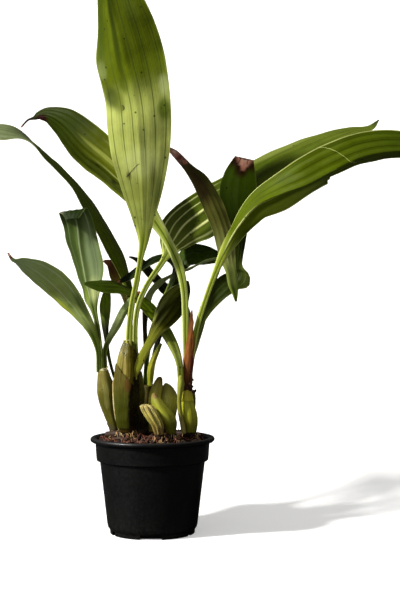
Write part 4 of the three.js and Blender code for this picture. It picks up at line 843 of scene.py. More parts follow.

# %% [markdown]
# The looks of the leaves, one by one, as the photograph shows them. A leaf that names no slot is a
# dark one, and one that names no `pleats` has two. `near`, `middle` and `far` are
# screen colours from the stalk to the tip, and `turns` are the four places along the leaf between
# which one runs into the next. `ribs` counts the veins, which are `vein_width` wide and fade out at
# `vein_end`. `margin` is how pale the rim is, and `shine` is the shader's specular level. `dry` and
# `stains_and_painted_light` place withered ends, stains, painted highlights and painted shade by how
# far across (-1 to 1) and along (0 to 1) they lie.
# The three tones of the leaves were scaled by a scratch program towards the photograph's median
# tones in three zones of each leaf, and some were changed by hand after that.

# %% Leaf looks
# The tones below hold each leaf's own colour together with some painted light and painted shade.
LOOKS = {
    "leaf_centre_tall": dict(
        slot="leaf_light", pleats=3, pleat=0.004, stalk=(132, 146, 40), stalk_edge=(190, 196, 96),
        groove=(88, 106, 22), near=(128, 136, 62), middle=(160, 168, 84), far=(84, 96, 8),
        vein=(70, 84, 26), ribs=6, vein_share=0.85, specks=0.55, ruffle=0.5, ruffle_length=62,
        # Painted light and shade: the narrow pale bands at along 0.63 and 0.7 are painted highlights on the
        # buckles, and the dark patches towards the tip and along the midrib fold are painted shade.
        buckle=1.3, stains_and_painted_light=[(-0.1, 0.88, 0.26, 0.12, (34, 44, 2), 0.85),
        (-0.16, 0.78, 0.18, 0.1, (40, 52, 2), 0.8), (-0.22, 0.71, 0.1, 0.06, (56, 68, 6), 0.7),
        (-0.85, 0.7, 0.2, 0.03, (150, 162, 96), 0.6), (-0.8, 0.84, 0.3, 0.2, (62, 76, 12), 0.8),
        (-0.75, 0.63, 0.3, 0.04, (46, 58, 6), 0.8), (-0.55, 0.615, 0.3, 0.04, (82, 92, 18), 0.7),
        (-0.25, 0.655, 0.2, 0.03, (70, 82, 10), 0.6), (-0.42, 0.597, 0.06, 0.008, (48, 50, 10), 0.9),
        (0.85, 0.632, 0.2, 0.03, (172, 182, 116), 0.6), (0.8, 0.583, 0.3, 0.035, (70, 88, 8), 0.85),
        (0.5, 0.84, 0.3, 0.06, (98, 114, 34), 0.5), (0.0, 0.46, 0.9, 0.05, (186, 194, 120), 0.5),
        (-0.1, 0.385, 0.6, 0.03, (112, 118, 44), 0.5), (-0.5, 0.43, 0.14, 0.014, (72, 70, 22), 0.8)],
        turns=(0.38, 0.46, 0.58, 0.68)),
    "leaf_upper_left": dict(
        slot="leaf_green", pleats=3, pleat=0.02, stalk=(142, 156, 54), stalk_edge=(196, 204, 124),
        groove=(78, 94, 18), near=(159, 173, 58), middle=(92, 100, 14), far=(40, 50, 4),
        vein=(176, 182, 106), ribs=4, vein_share=0.8, specks=0.35, ruffle=0.3, buckle=0.5,
        dry=[(0.0, 1.0, 1.4, 0.01)], stains_and_painted_light=[(0.0, 0.88, 2.0, 0.1, (50, 62, 6), 0.7),
        (-0.6, 0.93, 1.0, 0.03, (46, 8, 10), 1.0), (0, 0.985, 3.0, 0.05, (34, 28, 22), 1.0),
        (-0.6, 0.66, 0.5, 0.22, (40, 50, 4), 0.8), (-0.8, 0.5, 0.3, 0.1, (70, 80, 16), 0.5),
        (-0.55, 0.63, 0.12, 0.014, (24, 20, 4), 0.8), (-0.4, 0.7, 0.1, 0.014, (24, 20, 4), 0.7),
        (0.2, 0.66, 0.14, 0.16, (150, 156, 70), 0.7)], turns=(0.1, 0.5, 0.62, 0.85), vein_end=0.74,
        back=(40, 50, 6)),
    "leaf_far_left": dict(
        near=(104, 118, 20), middle=(80, 96, 8), far=(100, 110, 72), vein=(86, 98, 44), ribs=5,
        specks=0.1, ruffle=0.3, ruffle_length=56, buckle=0.3, back=(64, 78, 10),
        turns=(0.1, 0.5, 0.68, 0.78)),
    "leaf_left_folded": dict(
        slot="leaf_grey", stalk=(96, 112, 44), stalk_edge=(126, 142, 66), near=(150, 160, 84),
        middle=(88, 104, 50), far=(62, 80, 36), vein=(168, 182, 138), ribs=3, vein_share=0.65,
        specks=0.15, ruffle=0.4, buckle=0.7, stains_and_painted_light=[(-0.6, 0.62, 0.6, 0.3, (50, 66, 24), 0.7),
        (0.55, 0.62, 0.5, 0.3, (132, 148, 104), 0.7), (0.5, 0.43, 0.6, 0.12, (196, 206, 132), 0.7),
        (-0.4, 0.42, 0.4, 0.1, (120, 136, 40), 0.6), (0.0, 0.99, 3.0, 0.1, (30, 42, 14), 0.9),
        (-0.9, 0.94, 0.3, 0.02, (92, 84, 74), 0.9)], back=(30, 44, 12)),
    "leaf_lower_left": dict(
        # Painted light: the tones and the bright patch at (-0.75, 0.47) are made lighter than the leaf's
        # own colour, for the light its upturned face catches.
        slot="leaf_grey", near=(150, 158, 84), middle=(140, 158, 84), far=(146, 166, 112),
        vein=(184, 194, 146), ribs=3, vein_share=0.75, specks=0.12, ruffle=0.3, buckle=0.6,
        dry=[(0.0, 1.0, 1.6, 0.05)], stains_and_painted_light=[(-0.75, 0.47, 0.3, 0.12, (190, 200, 60), 0.85),
        (-0.6, 0.58, 0.3, 0.06, (120, 136, 40), 0.5), (-0.2, 0.46, 0.3, 0.03, (90, 108, 24), 0.6),
        (0.65, 0.42, 0.4, 0.14, (58, 80, 18), 0.7)]),
    # Painted shade: these two inner leaves lie in shade among the others, and their very dark tones stand
    # partly for that shade.
    "leaf_inner_left": dict(
        near=(90, 103, 4), middle=(19, 26, 4), far=(17, 29, 4), vein=(66, 82, 32), ribs=5, ruffle=0.4,
        dry=[(0, 1, 1.5, 0.02)], buckle=0.7),
    "leaf_inner_right": dict(
        near=(40, 52, 8), middle=(40, 56, 4), far=(56, 76, 6), vein=(72, 90, 32), ribs=5, ruffle=0.4,
        buckle=0.7, stalk=(30, 34, 8), stalk_edge=(48, 54, 18), groove=(22, 26, 6)),
    "leaf_low_crossing": dict(
        stalk=(104, 112, 34), stalk_edge=(136, 144, 60), groove=(76, 86, 22), near=(60, 70, 10),
        middle=(79, 97, 8), far=(47, 62, 4), vein=(76, 94, 36), ribs=5, ruffle=0.4,
        stains_and_painted_light=[(0.0, 0.3, 1.2, 0.1, (94, 116, 38), 0.6)], buckle=0.7, margin=0.1, vein_share=0.3),
    "leaf_small_dark": dict(
        pleats=1, near=(70, 84, 30), middle=(33, 33, 23), far=(119, 144, 18), vein=(84, 98, 48), ribs=3,
        ruffle=0.5, buckle=0.5, dry=[(0, 1, 1.4, 0.05)], stalk=(30, 34, 8), stalk_edge=(48, 54, 18)),
    "leaf_narrow_young": dict(
        slot="leaf_light", pleats=1, near=(112, 124, 60), middle=(150, 164, 104), far=(104, 124, 62),
        vein=(168, 182, 126), ribs=3, ruffle=0.4, buckle=0.4, dry=[(0, 1, 1.4, 0.07)]),
    "leaf_rear_left": dict(
        pleats=1, near=(138, 146, 12), middle=(78, 72, 26), far=(74, 56, 11), vein=(104, 92, 50),
        ribs=3, ruffle=0.2, buckle=0.3, dry=[(0, 1, 1.5, 0.01)],
        stains_and_painted_light=[(0, 1.0, 2.0, 0.2, (58, 28, 18), 0.95)]),
    "leaf_dark_pointed": dict(
        near=(152, 158, 88), middle=(78, 78, 28), far=(60, 42, 18), vein=(104, 108, 62), ribs=4,
        ruffle=0.3, buckle=0.5, dry=[(0.0, 1.0, 1.4, 0.004), (0.3, 0.86, 0.9, 0.02)],
        stains_and_painted_light=[(-0.3, 0.7, 0.9, 0.16, (56, 32, 14), 0.7), (0.3, 0.76, 1.0, 0.1, (38, 34, 8), 0.6),
        (0.0, 1.0, 3.0, 0.17, (198, 140, 124), 0.95), (0.0, 0.9, 1.6, 0.02, (96, 44, 32), 0.9),
        (0.2, 0.945, 0.8, 0.012, (240, 214, 196), 0.8), (0.0, 0.975, 0.8, 0.02, (116, 66, 54), 0.7)]),
    "leaf_dark_kinked": dict(
        notches=[(1, 0.43, 0.487, -1.5), (1, 0.53, 0.487, -1.5), (1, 0.462, 0.487, -5.5),
        (1, 0.512, 0.487, -5.5)], near=(38, 46, 4), middle=(40, 51, 4), far=(78, 104, 4),
        vein=(74, 88, 36), ribs=5, vein_share=0.35, ruffle=0.4, buckle=0.5,
        dry=[(0.0, 1.0, 0.9, 0.008)], stains_and_painted_light=[(0.0, 0.99, 2.6, 0.06, (58, 20, 10), 0.95),
        (0.0, 0.95, 0.6, 0.05, (58, 20, 10), 0.9), (0.05, 1.0, 1.3, 0.018, (255, 176, 146), 1.0),
        (0.05, 0.986, 0.85, 0.015, (255, 180, 150), 1.0),
        (0.07, 0.973, 0.55, 0.015, (255, 184, 156), 1.0),
        (0.1, 0.96, 0.28, 0.018, (240, 160, 132), 1.0), (0.1, 0.998, 0.6, 0.012, (255, 236, 210), 0.6),
        (-0.35, 0.988, 0.07, 0.018, (84, 34, 22), 0.85),
        (0.35, 0.985, 0.07, 0.018, (84, 34, 22), 0.85)]),
    "leaf_upper_right": dict(
        slot="leaf_green", pleats=3, pleat=0.014, stalk=(126, 140, 44), stalk_edge=(192, 198, 104),
        groove=(70, 86, 18), near=(134, 146, 56), middle=(60, 74, 6), far=(84, 96, 28),
        vein=(228, 232, 150), ribs=5, vein_share=0.95, ruffle=0.3, ruffle_length=70, buckle=0.8,
        # Painted highlights: the first two patches lighten the band where the blade turns to the light.
        stains_and_painted_light=[(-0.8, 0.72, 0.36, 0.16, (124, 134, 62), 0.65),
        (-0.3, 0.78, 0.16, 0.12, (92, 102, 34), 0.5), (0.25, 0.6, 0.2, 0.22, (36, 46, 8), 0.6),
        (-0.6, 0.5, 0.5, 0.06, (48, 60, 6), 0.7), (0.8, 0.45, 0.3, 0.14, (46, 58, 8), 0.6),
        (0, 1.0, 2.0, 0.035, (40, 52, 16), 0.9)], vein_width=0.17, vein_end=0.58),
    "leaf_right_long": dict(
        slot="leaf_light", pleats=3, pleat=0.011, margin=0.9, stalk=(150, 162, 50),
        stalk_edge=(190, 198, 104), groove=(100, 116, 26), near=(150, 156, 52), middle=(74, 88, 4),
        far=(47, 61, 4), vein=(66, 78, 6), vein_share=0.75, specks=0.15, ruffle=0.35, ruffle_length=58,
        buckle=0.8, notches=[(1, 0.45, 0.632, -15), (1, 0.76, 0.645, 9)],
        # Painted light and shade: the dark patch at (0.75, 0.36) is painted shade on the lower half, and
        # the light one at (0.7, 0.52) lightens a part that lies in shade.
        stains_and_painted_light=[(0.0, 0.34, 0.07, 0.14, (206, 210, 136), 0.8),
        (0.05, 0.46, 0.05, 0.12, (170, 178, 80), 0.6), (0.75, 0.36, 0.4, 0.07, (50, 60, 6), 0.35),
        (0.7, 0.52, 0.4, 0.14, (138, 156, 40), 0.7), (0.2, 0.74, 0.5, 0.03, (58, 70, 4), 0.5)],
        turns=(0.18, 0.3, 0.6, 0.95), shine=0.04),
    "leaf_new_growth": dict(
        slot="leaf_green", stalk=(118, 118, 28), stalk_edge=(152, 154, 62), groove=(112, 122, 26),
        near=(150, 156, 34), middle=(36, 38, 3), far=(36, 40, 2), vein=(60, 72, 20), ribs=4,
        vein_share=0.3, ruffle=0.3, buckle=0.4, stains_and_painted_light=[(-0.8, 0.35, 0.4, 0.3, (204, 212, 96), 0.8)],
        shine=0.03),
    "shoot_young": dict(
        slot="leaf_light", pleats=1, stalk=(150, 162, 50), stalk_edge=(190, 198, 90),
        near=(176, 180, 44), middle=(176, 174, 56), far=(100, 110, 26), vein=(120, 138, 40), ribs=3,
        ruffle=0.2, buckle=0.3),
    "leaf_rear_thin": dict(
        slot="leaf_grey", pleats=1, near=(46, 44, 16), middle=(150, 164, 100), far=(140, 156, 100),
        vein=(156, 168, 130), ribs=3, ruffle=0.3, buckle=0.4, stalk=(60, 56, 22),
        stalk_edge=(96, 92, 48), groove=(36, 32, 12)),
    "leaf_rear_right": dict(
        near=(56, 72, 22), middle=(9, 15, 4), far=(26, 30, 5), vein=(62, 76, 30), ribs=4, ruffle=0.7,
        buckle=0.8),
}
print("leaf looks:", len(LOOKS))

# %% [markdown]
# Now the leaves are made, each with its own finish. A stalk starts a little below its first
# station, inside the stem that carries it, so no gap shows. The dark pointed leaf hangs: its blade
# ends in a free tail, and a stalk of its own joins it from behind.

# %% Leaves
BASE_DEPTH = 4
SHAPE_KEYS = ("slot", "pleats", "pleat", "ruffle", "ruffle_length", "buckle", "dry", "stains_and_painted_light", "notches")
HANGING = "leaf_dark_pointed"


def show(mesh, name, slot, *nodes):
    """Adds a finished mesh to the scene as a piece that stands for the named CAD nodes."""
    piece = placed(name, mesh)
    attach(piece, BODY)
    if nodes:
        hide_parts(*nodes)
    return piece


def rooted(stations):
    x, y, z, *rest = stations[0]
    return [(x, y, z - BASE_DEPTH, *rest), *stations]


for leaf_name, stations in LEAVES.items():
    look = {"slot": "leaf_dark", "pleats": 2, **LOOKS[leaf_name]}
    finish = leaf_finish(leaf_name, **{key: look[key] for key in look if key not in SHAPE_KEYS})
    stations = stations if leaf_name == HANGING else rooted(stations)
    mesh = leaf_mesh(leaf_name + "_blade", stations, look["pleats"], look)
    mesh.materials.append(finish)
    show(mesh, leaf_name + "_blade", look["slot"], leaf_name)
    if leaf_name == HANGING:
        stalk = leaf_mesh(HANGING + "_stalk", rooted(DARK_POINTED_STALK), 1, {})
        stalk.materials.append(finish)
        show(stalk, HANGING + "_stalk", look["slot"], leaf_name)
print("leaf pieces:", len(LEAVES) + 1)

# %% [markdown]
# The swollen stems and the green sheaths are one rule with different numbers: a leaning line of
# rings from the top down, each with its girth, ribbed round about and wrinkled lengthwise. Here are
# the numbers for each, and the next cells hold the rule.

# %% Stem stations
STEMS = {
    "pseudobulb_left": [
        (-49.3, -6, 163.9, 4.9), (-48.3, -6, 156.4, 6.4), (-46.7, -6, 146.4, 8.6),
        (-46, -6, 139.5, 9.2), (-44.4, -6, 129.5, 8.5), (-42.5, -6, 120.5, 7.1), (-40.3, -6, 112, 5.7),
        (-38, -6, 105, 4.4), (-37.4, -6, 100.2, 3.6)],
    "pseudobulb_centre": [
        (-23.7, -17, 193, 4.3), (-23.9, -17, 189.2, 5.3), (-24.2, -17, 184, 7.1),
        (-24.3, -17, 175.8, 9.6), (-24.6, -17, 165, 11.2), (-24.6, -17, 154, 12), (-24.8, -17, 142, 12),
        (-24.9, -17, 128, 11.2), (-24.9, -17, 113.5, 9.7), (-25.2, -17, 100.4, 6.8)],
    "pseudobulb_back": [
        (-5.8, 15.5, 146.4, 7.9), (-6.3, 15.5, 138.8, 8.1), (-7.3, 15.5, 125.6, 7.5),
        (-8.3, 15.5, 110.5, 6.3), (-8.3, 15.5, 98.8, 5.1)],
    "pseudobulb_finger": [
        (7.4, -8, 155.9, 1.6), (6.8, -8, 152.9, 3.2), (4.7, -8, 145.6, 5.2), (2.6, -8, 137.6, 5.9),
        (1.4, -8, 127, 5.6), (1, -8, 115, 4.7), (0.7, -8, 100.4, 3.6)],
    "pseudobulb_front": [
        (2.6, -26, 141, 1.5), (3.4, -26, 137.6, 3.4), (5.4, -26, 133.6, 5.5), (7.8, -26, 129, 7.1),
        (10.8, -26, 123.7, 8.3), (13.8, -26, 118.4, 8.7), (16.6, -26, 112.5, 7.8),
        (18.4, -26, 106.8, 5.6), (19.2, -26, 100.4, 3.8)],
    "pseudobulb_short": [
        (13.4, 2, 148.9, 1.5), (14.6, 2, 145.7, 4.4), (15.4, 2, 141.5, 6.6), (16.2, 2, 135.4, 8.1),
        (16.1, 2, 125.8, 8.3), (15.7, 2, 114.5, 6.9), (15.3, 2, 99.3, 4.3)],
    "pseudobulb_shrivelled": [
        (-5.4, -36, 131, 3.4), (-4, -36, 128.6, 5.9), (-1.6, -36, 123.6, 6.7), (0.6, -36, 119.5, 6.7),
        (3.2, -36, 115.1, 6.3), (6, -36, 109.6, 5.2), (7.8, -36, 100.8, 3.6)],
    "pseudobulb_right": [
        (34.3, -10, 144.3, 5.1), (33.9, -10, 137.5, 5.8), (34.6, -10, 127.5, 7.0),
        (36.1, -10, 118.5, 8.1), (37.1, -10, 110, 7.6), (38, -10, 100.1, 5.3)],
    "pseudobulb_rear_left": [
        (-29, 30, 137.5, 9), (-29, 30, 128.5, 10.2), (-28.4, 30, 113.1, 8.8), (-28.4, 30, 97.7, 5.9)],
    "pseudobulb_rear_centre": [
        (-6.9, 40, 137.6, 4.5), (-6.9, 40, 127.6, 7.6), (-6.9, 40, 112.1, 7.2), (-6.9, 40, 97.1, 5)],
    "pseudobulb_rear_right": [
        (34.5, 21.5, 141, 7.3), (34.4, 21.5, 131.2, 8.3), (34.2, 21.5, 114.9, 7.5),
        (34.2, 21.5, 98.7, 5.1)],
    "sheath_left": [
        (28.3, -20, 158, 1.9), (28.5, -20, 153, 3), (28.6, -20, 148.4, 3.4), (27.5, -20, 140, 2.5),
        (26.9, -20, 131, 2.1), (28.1, -20, 119.5, 2.1), (30.3, -19.5, 108.5, 2.3),
        (31.7, -19, 100.1, 2.2)],
    "sheath_new_growth": [
        (-11.6, -3, 161, 0.8), (-12.1, -3, 156, 2.4), (-12.6, -3, 150, 3.5), (-12, -3, 138.2, 4.2),
        (-13.8, -3, 118.3, 4.7), (-12.9, -3, 99.8, 3.4)],
}

# Ribs round the stem, height of a rib as a share of the girth, and height of the wrinkles in mm
STEM_RIBS = {
    "pseudobulb_left": (5, 0.05, 0.35), "pseudobulb_centre": (5, 0.05, 0.3),
    "pseudobulb_back": (4, 0.05, 0.3), "pseudobulb_finger": (4, 0.06, 0.2),
    "pseudobulb_front": (4, 0.06, 0.25), "pseudobulb_short": (4, 0.06, 0.25),
    "pseudobulb_shrivelled": (8, 0.15, 1.1), "pseudobulb_right": (4, 0.06, 0.35),
    "pseudobulb_rear_left": (4, 0.05, 0.3), "pseudobulb_rear_centre": (4, 0.05, 0.3),
    "pseudobulb_rear_right": (4, 0.05, 0.3), "sheath_left": (4, 0.05, 0.25),
    "sheath_new_growth": (4, 0.05, 0.25)}
print("stems:", len(STEMS))

# %% [markdown]
# A Geometry Nodes tree needs something to work on. `polyline` makes it: bare edges through the
# stations, with a `girth` at each point. `grow` runs a tree on it and keeps the plain mesh, so no
# modifier is left. A tree could also be drawn by hand in Blender, but built in code it can be read.

# %% Geometry Nodes helpers
def polyline(name, lines):
    """An object of bare edges, one chain for each line of points (x, y, z, girth) in mm."""
    points, edges = [], []
    for line in lines:
        edges += [(len(points) + i, len(points) + i + 1) for i in range(len(line) - 1)]
        points += line
    mesh = bpy.data.meshes.new(name)
    mesh.from_pydata([tuple(c * MM for c in point[:3]) for point in points], edges, [])
    girths = [point[3] * MM for point in points]
    mesh.attributes.new("girth", "FLOAT", "POINT").data.foreach_set("value", girths)
    return placed(name, mesh)


def grow(carrier, tree, **values):
    """Runs a Geometry Nodes tree on a carrier object and gives back the plain mesh it makes."""
    modifier = carrier.modifiers.new("grow", "NODES")
    modifier.node_group = tree
    for item in tree.interface.items_tree:
        title = item.name.replace(" ", "_").lower()
        if item.in_out == "INPUT" and title in values:
            modifier[item.identifier] = values[title]
    bpy.context.view_layer.update()
    graph = bpy.context.evaluated_depsgraph_get()
    mesh = bpy.data.meshes.new_from_object(carrier.evaluated_get(graph), depsgraph=graph)
    mesh.name = carrier.name
    carrier.modifiers.remove(modifier)
    bpy.data.objects.remove(carrier)
    return mesh


print("carrier helpers ready")

# %% [markdown]
# The trees share a few steps as well: the chain of edges made a smooth curve, the place, girth and
# normal at a point, and the end, where instances turn into real geometry that has its material.

# %% Steps of a tree
def position(tree):
    return made(tree, "GeometryNodeInputPosition")


def smooth_curve(tree, geometry):
    line = made(tree, "GeometryNodeMeshToCurve", {0: geometry})
    return made(tree, "GeometryNodeCurveSplineType", {0: line}, spline_type="CATMULL_ROM")


def outward(tree, push):
    """A shift along the surface's own normal."""
    return vector(tree, "SCALE", made(tree, "GeometryNodeInputNormal"), scale=push)


def girth_of(tree):
    return made(tree, "GeometryNodeInputNamedAttribute", {"Name": "girth"}, data_type="FLOAT")


def close(tree, given, end, geometry):
    """The last steps of every tree: real geometry, with its material."""
    real = made(tree, "GeometryNodeRealizeInstances", {0: geometry})
    painted = made(tree, "GeometryNodeSetMaterial", {"Geometry": real, "Material": given["Material"]})
    tree.links.new(painted, end.inputs[0])
    return tree


print("geometry helpers ready")

# %% [markdown]
# The stem tree lays a cylinder of level rings along the smooth curve. Curve to Mesh would tilt each
# ring with the line and pinch it where the line bends, and a pseudobulb's rings stay level.
# `Shoulder` is how far from each end the rounding starts, and `Wrinkle` is the height of the
# lengthwise furrows. It also stores `grain`, a place round and along the stem, which the material
# reads so that fibres run lengthwise on every stem whatever way it leans.

# %% Stem tree
def stem_tree():
    inputs = {
        "Line": GEOMETRY, "Sides": 72, "Rings": 90, "Ribs": 4, "Rib share": 0.05, "Wrinkle": 0.0003,
        "Shoulder": 0.0016, "Material": MATERIAL}
    tree, given, end = group("stem", "GeometryNodeTree", inputs, {"Mesh": GEOMETRY})
    curve = smooth_curve(tree, given["Line"])
    length = made(tree, "GeometryNodeCurveLength", {0: curve})
    tube = made(tree, "GeometryNodeMeshCylinder", {
        "Vertices": given["Sides"], "Side Segments": given["Rings"], "Radius": 1.0, "Depth": 1.0},
        fill_type="TRIANGLE_FAN")
    place = split(tree, position(tree))
    along = plus(tree, place[2], 0.5)
    wanted = {"Curves": curve, "Value": girth_of(tree), "Factor": along}
    sample = add(tree, "GeometryNodeSampleCurve", wanted, data_type="FLOAT", mode="FACTOR").outputs
    angle = maths(tree, "ARCTAN2", place[1], place[0])
    swell = maths(tree, "COSINE", times(tree, angle, given["Ribs"]))
    swell = plus(tree, times(tree, swell, given["Rib share"]), 1.0)
    inset = times(tree, maths(tree, "MINIMUM", along, minus(tree, 1.0, along)), length)
    shoulder = maths(tree, "DIVIDE", inset, given["Shoulder"], clamp=True)
    low = maths(tree, "POWER", minus(tree, 1.0, shoulder), 2.0)
    rounding = maths(tree, "SQRT", minus(tree, 1.0, times(tree, low, 0.75)))
    grain = join(tree, place[0], place[1], times(tree, along, length))
    furrow = noisy(tree, vector(tree, "MULTIPLY", grain, (4.5, 4.5, 60.0)), 1.0, 3.0)
    furrow = times(tree, minus(tree, furrow, 0.5), times(tree, given["Wrinkle"], 2.4))
    radius = plus(tree, times(tree, sample["Value"], swell, rounding), furrow)
    offset = vector(tree, "SCALE", join(tree, place[0], place[1]), scale=radius)
    stored = made(tree, "GeometryNodeStoreNamedAttribute", {
        "Geometry": tube, "Name": "grain", "Value": grain}, data_type="FLOAT_VECTOR", domain="POINT")
    shaped = made(tree, "GeometryNodeSetPosition", {
        "Geometry": stored, "Position": vector(tree, "ADD", sample["Position"], offset)})
    return close(tree, given, end, shaped)


STEM_TREE = stem_tree()
print("stem tree nodes:", len(STEM_TREE.nodes))

# %% [markdown]
# Stems are fibrous, and a real one is scarred or wet in places. `grained` is a mask of
# lengthwise fibres on the grain that the mesh carries. A stain is an ellipsoid in space with a
# ragged edge: its centre, its three radii, a colour and a strength. Some stains are painted shade
# and painted highlights. Painting points, as on the leaves, would need a finer mesh.

# %% Grain, stains and painted light
def grained_group():
    inputs = {"Vector": VECTOR, "Lines": 9.0, "Stretch": 70.0}
    tree, given, end = group("grained", "ShaderNodeTree", inputs, {"Mask": FLOAT})
    x, y, z = split(tree, given["Vector"])
    lines = given["Lines"]
    place = join(tree, times(tree, x, lines), times(tree, y, lines), times(tree, z, given["Stretch"]))
    tree.links.new(between(tree, noisy(tree, place, 1.0, 4.0, 0.6), 0.32, 0.68), end.inputs[0])
    return tree


def stain_and_light_group():
    inputs = {"Vector": VECTOR, "Centre": VECTOR, "Reach": VECTOR}
    tree, given, end = group("stain_and_light", "ShaderNodeTree", inputs, {"Mask": FLOAT})
    ragged = noisy(tree, given["Vector"], 190.0, 3.0)
    away = vector(tree, "SUBTRACT", given["Vector"], given["Centre"])
    away = vector(tree, "LENGTH", vector(tree, "DIVIDE", away, given["Reach"]))
    amount = plus(tree, away, times(tree, ragged, 0.5))
    tree.links.new(between(tree, amount, 0.95, 1.25, 1.0, 0.0), end.inputs[0])
    return tree


GRAINED = grained_group()
STAIN_AND_LIGHT = stain_and_light_group()


def with_stains_and_light(tree, colour, spot, stains_and_light):
    """Lays stains and painted light over a colour: each has a centre and reach in mm, a colour and a
    strength.
    """
    for centre, reach, tone, strength in stains_and_light:
        mask = use(tree, STAIN_AND_LIGHT, vector=spot, centre=[c * MM for c in centre], reach=[c * MM for c in reach])
        colour = mix(tree, times(tree, mask[0], strength), colour, tone)
    return colour


print("grain and stains ready")

# %% [markdown]
# Stems share one finish: three colours from the top down, darker lengthwise fibres, a cloudy tone,
# small specks, and then the stains, painted highlights and painted shade. One finish with many inputs
# is easier to keep alike than a material for each stem.

# %% Stem finish
def stem_finish(name, top, middle, bottom, dark, heights, gloss=0.32, fibres=0.5, specks=0.15, stains_and_light=()):
    material, tree, spot = finish_start(name, gloss, 0.2)
    grain = add(tree, "ShaderNodeAttribute", attribute_name="grain").outputs["Vector"]
    height = split(tree, spot)[2]
    low, high = heights[0] * MM, heights[1] * MM
    half = (low + high) / 2
    fibre = use(tree, GRAINED, vector=grain, lines=9.0, stretch=70.0)[0]
    fine = use(tree, GRAINED, vector=grain, lines=26.0, stretch=160.0)[0]
    cloud = cloudy(tree, spot, 95.0, 0.2)
    colour = mix(tree, between(tree, height, low, half), bottom, middle)
    colour = mix(tree, between(tree, height, half, high), colour, top)
    colour = mix(tree, times(tree, minus(tree, 1.0, fibre), fibres), colour, dark)
    value = plus(tree, times(tree, cloud, 0.3), times(tree, fine, 0.22), 0.74)
    colour = made(tree, "ShaderNodeHueSaturation", {"Value": value, "Color": colour})
    dots = use(tree, SPECKS, vector=spot, scale=260.0, size=0.2, share=specks)[0]
    colour = mix(tree, times(tree, dots, 0.7), colour, (40, 32, 14))
    colour = with_stains_and_light(tree, colour, spot, stains_and_light)
    rough = plus(tree, times(tree, cloud, 0.16), gloss)
    relief = plus(tree, times(tree, fibre, 0.7), times(tree, fine, 0.3))
    return finish_end(material, colour, rough, relief, 0.5, 0.0005)


print("stem finish ready")

# %% [markdown]
# The looks of the stems. `top`, `middle` and `bottom` are screen colours between the two `heights`,
# and `dark` is the colour between the fibres. The newest bulbs are bright green, old ones olive to
# brown, and the shrivelled one is straw-coloured.

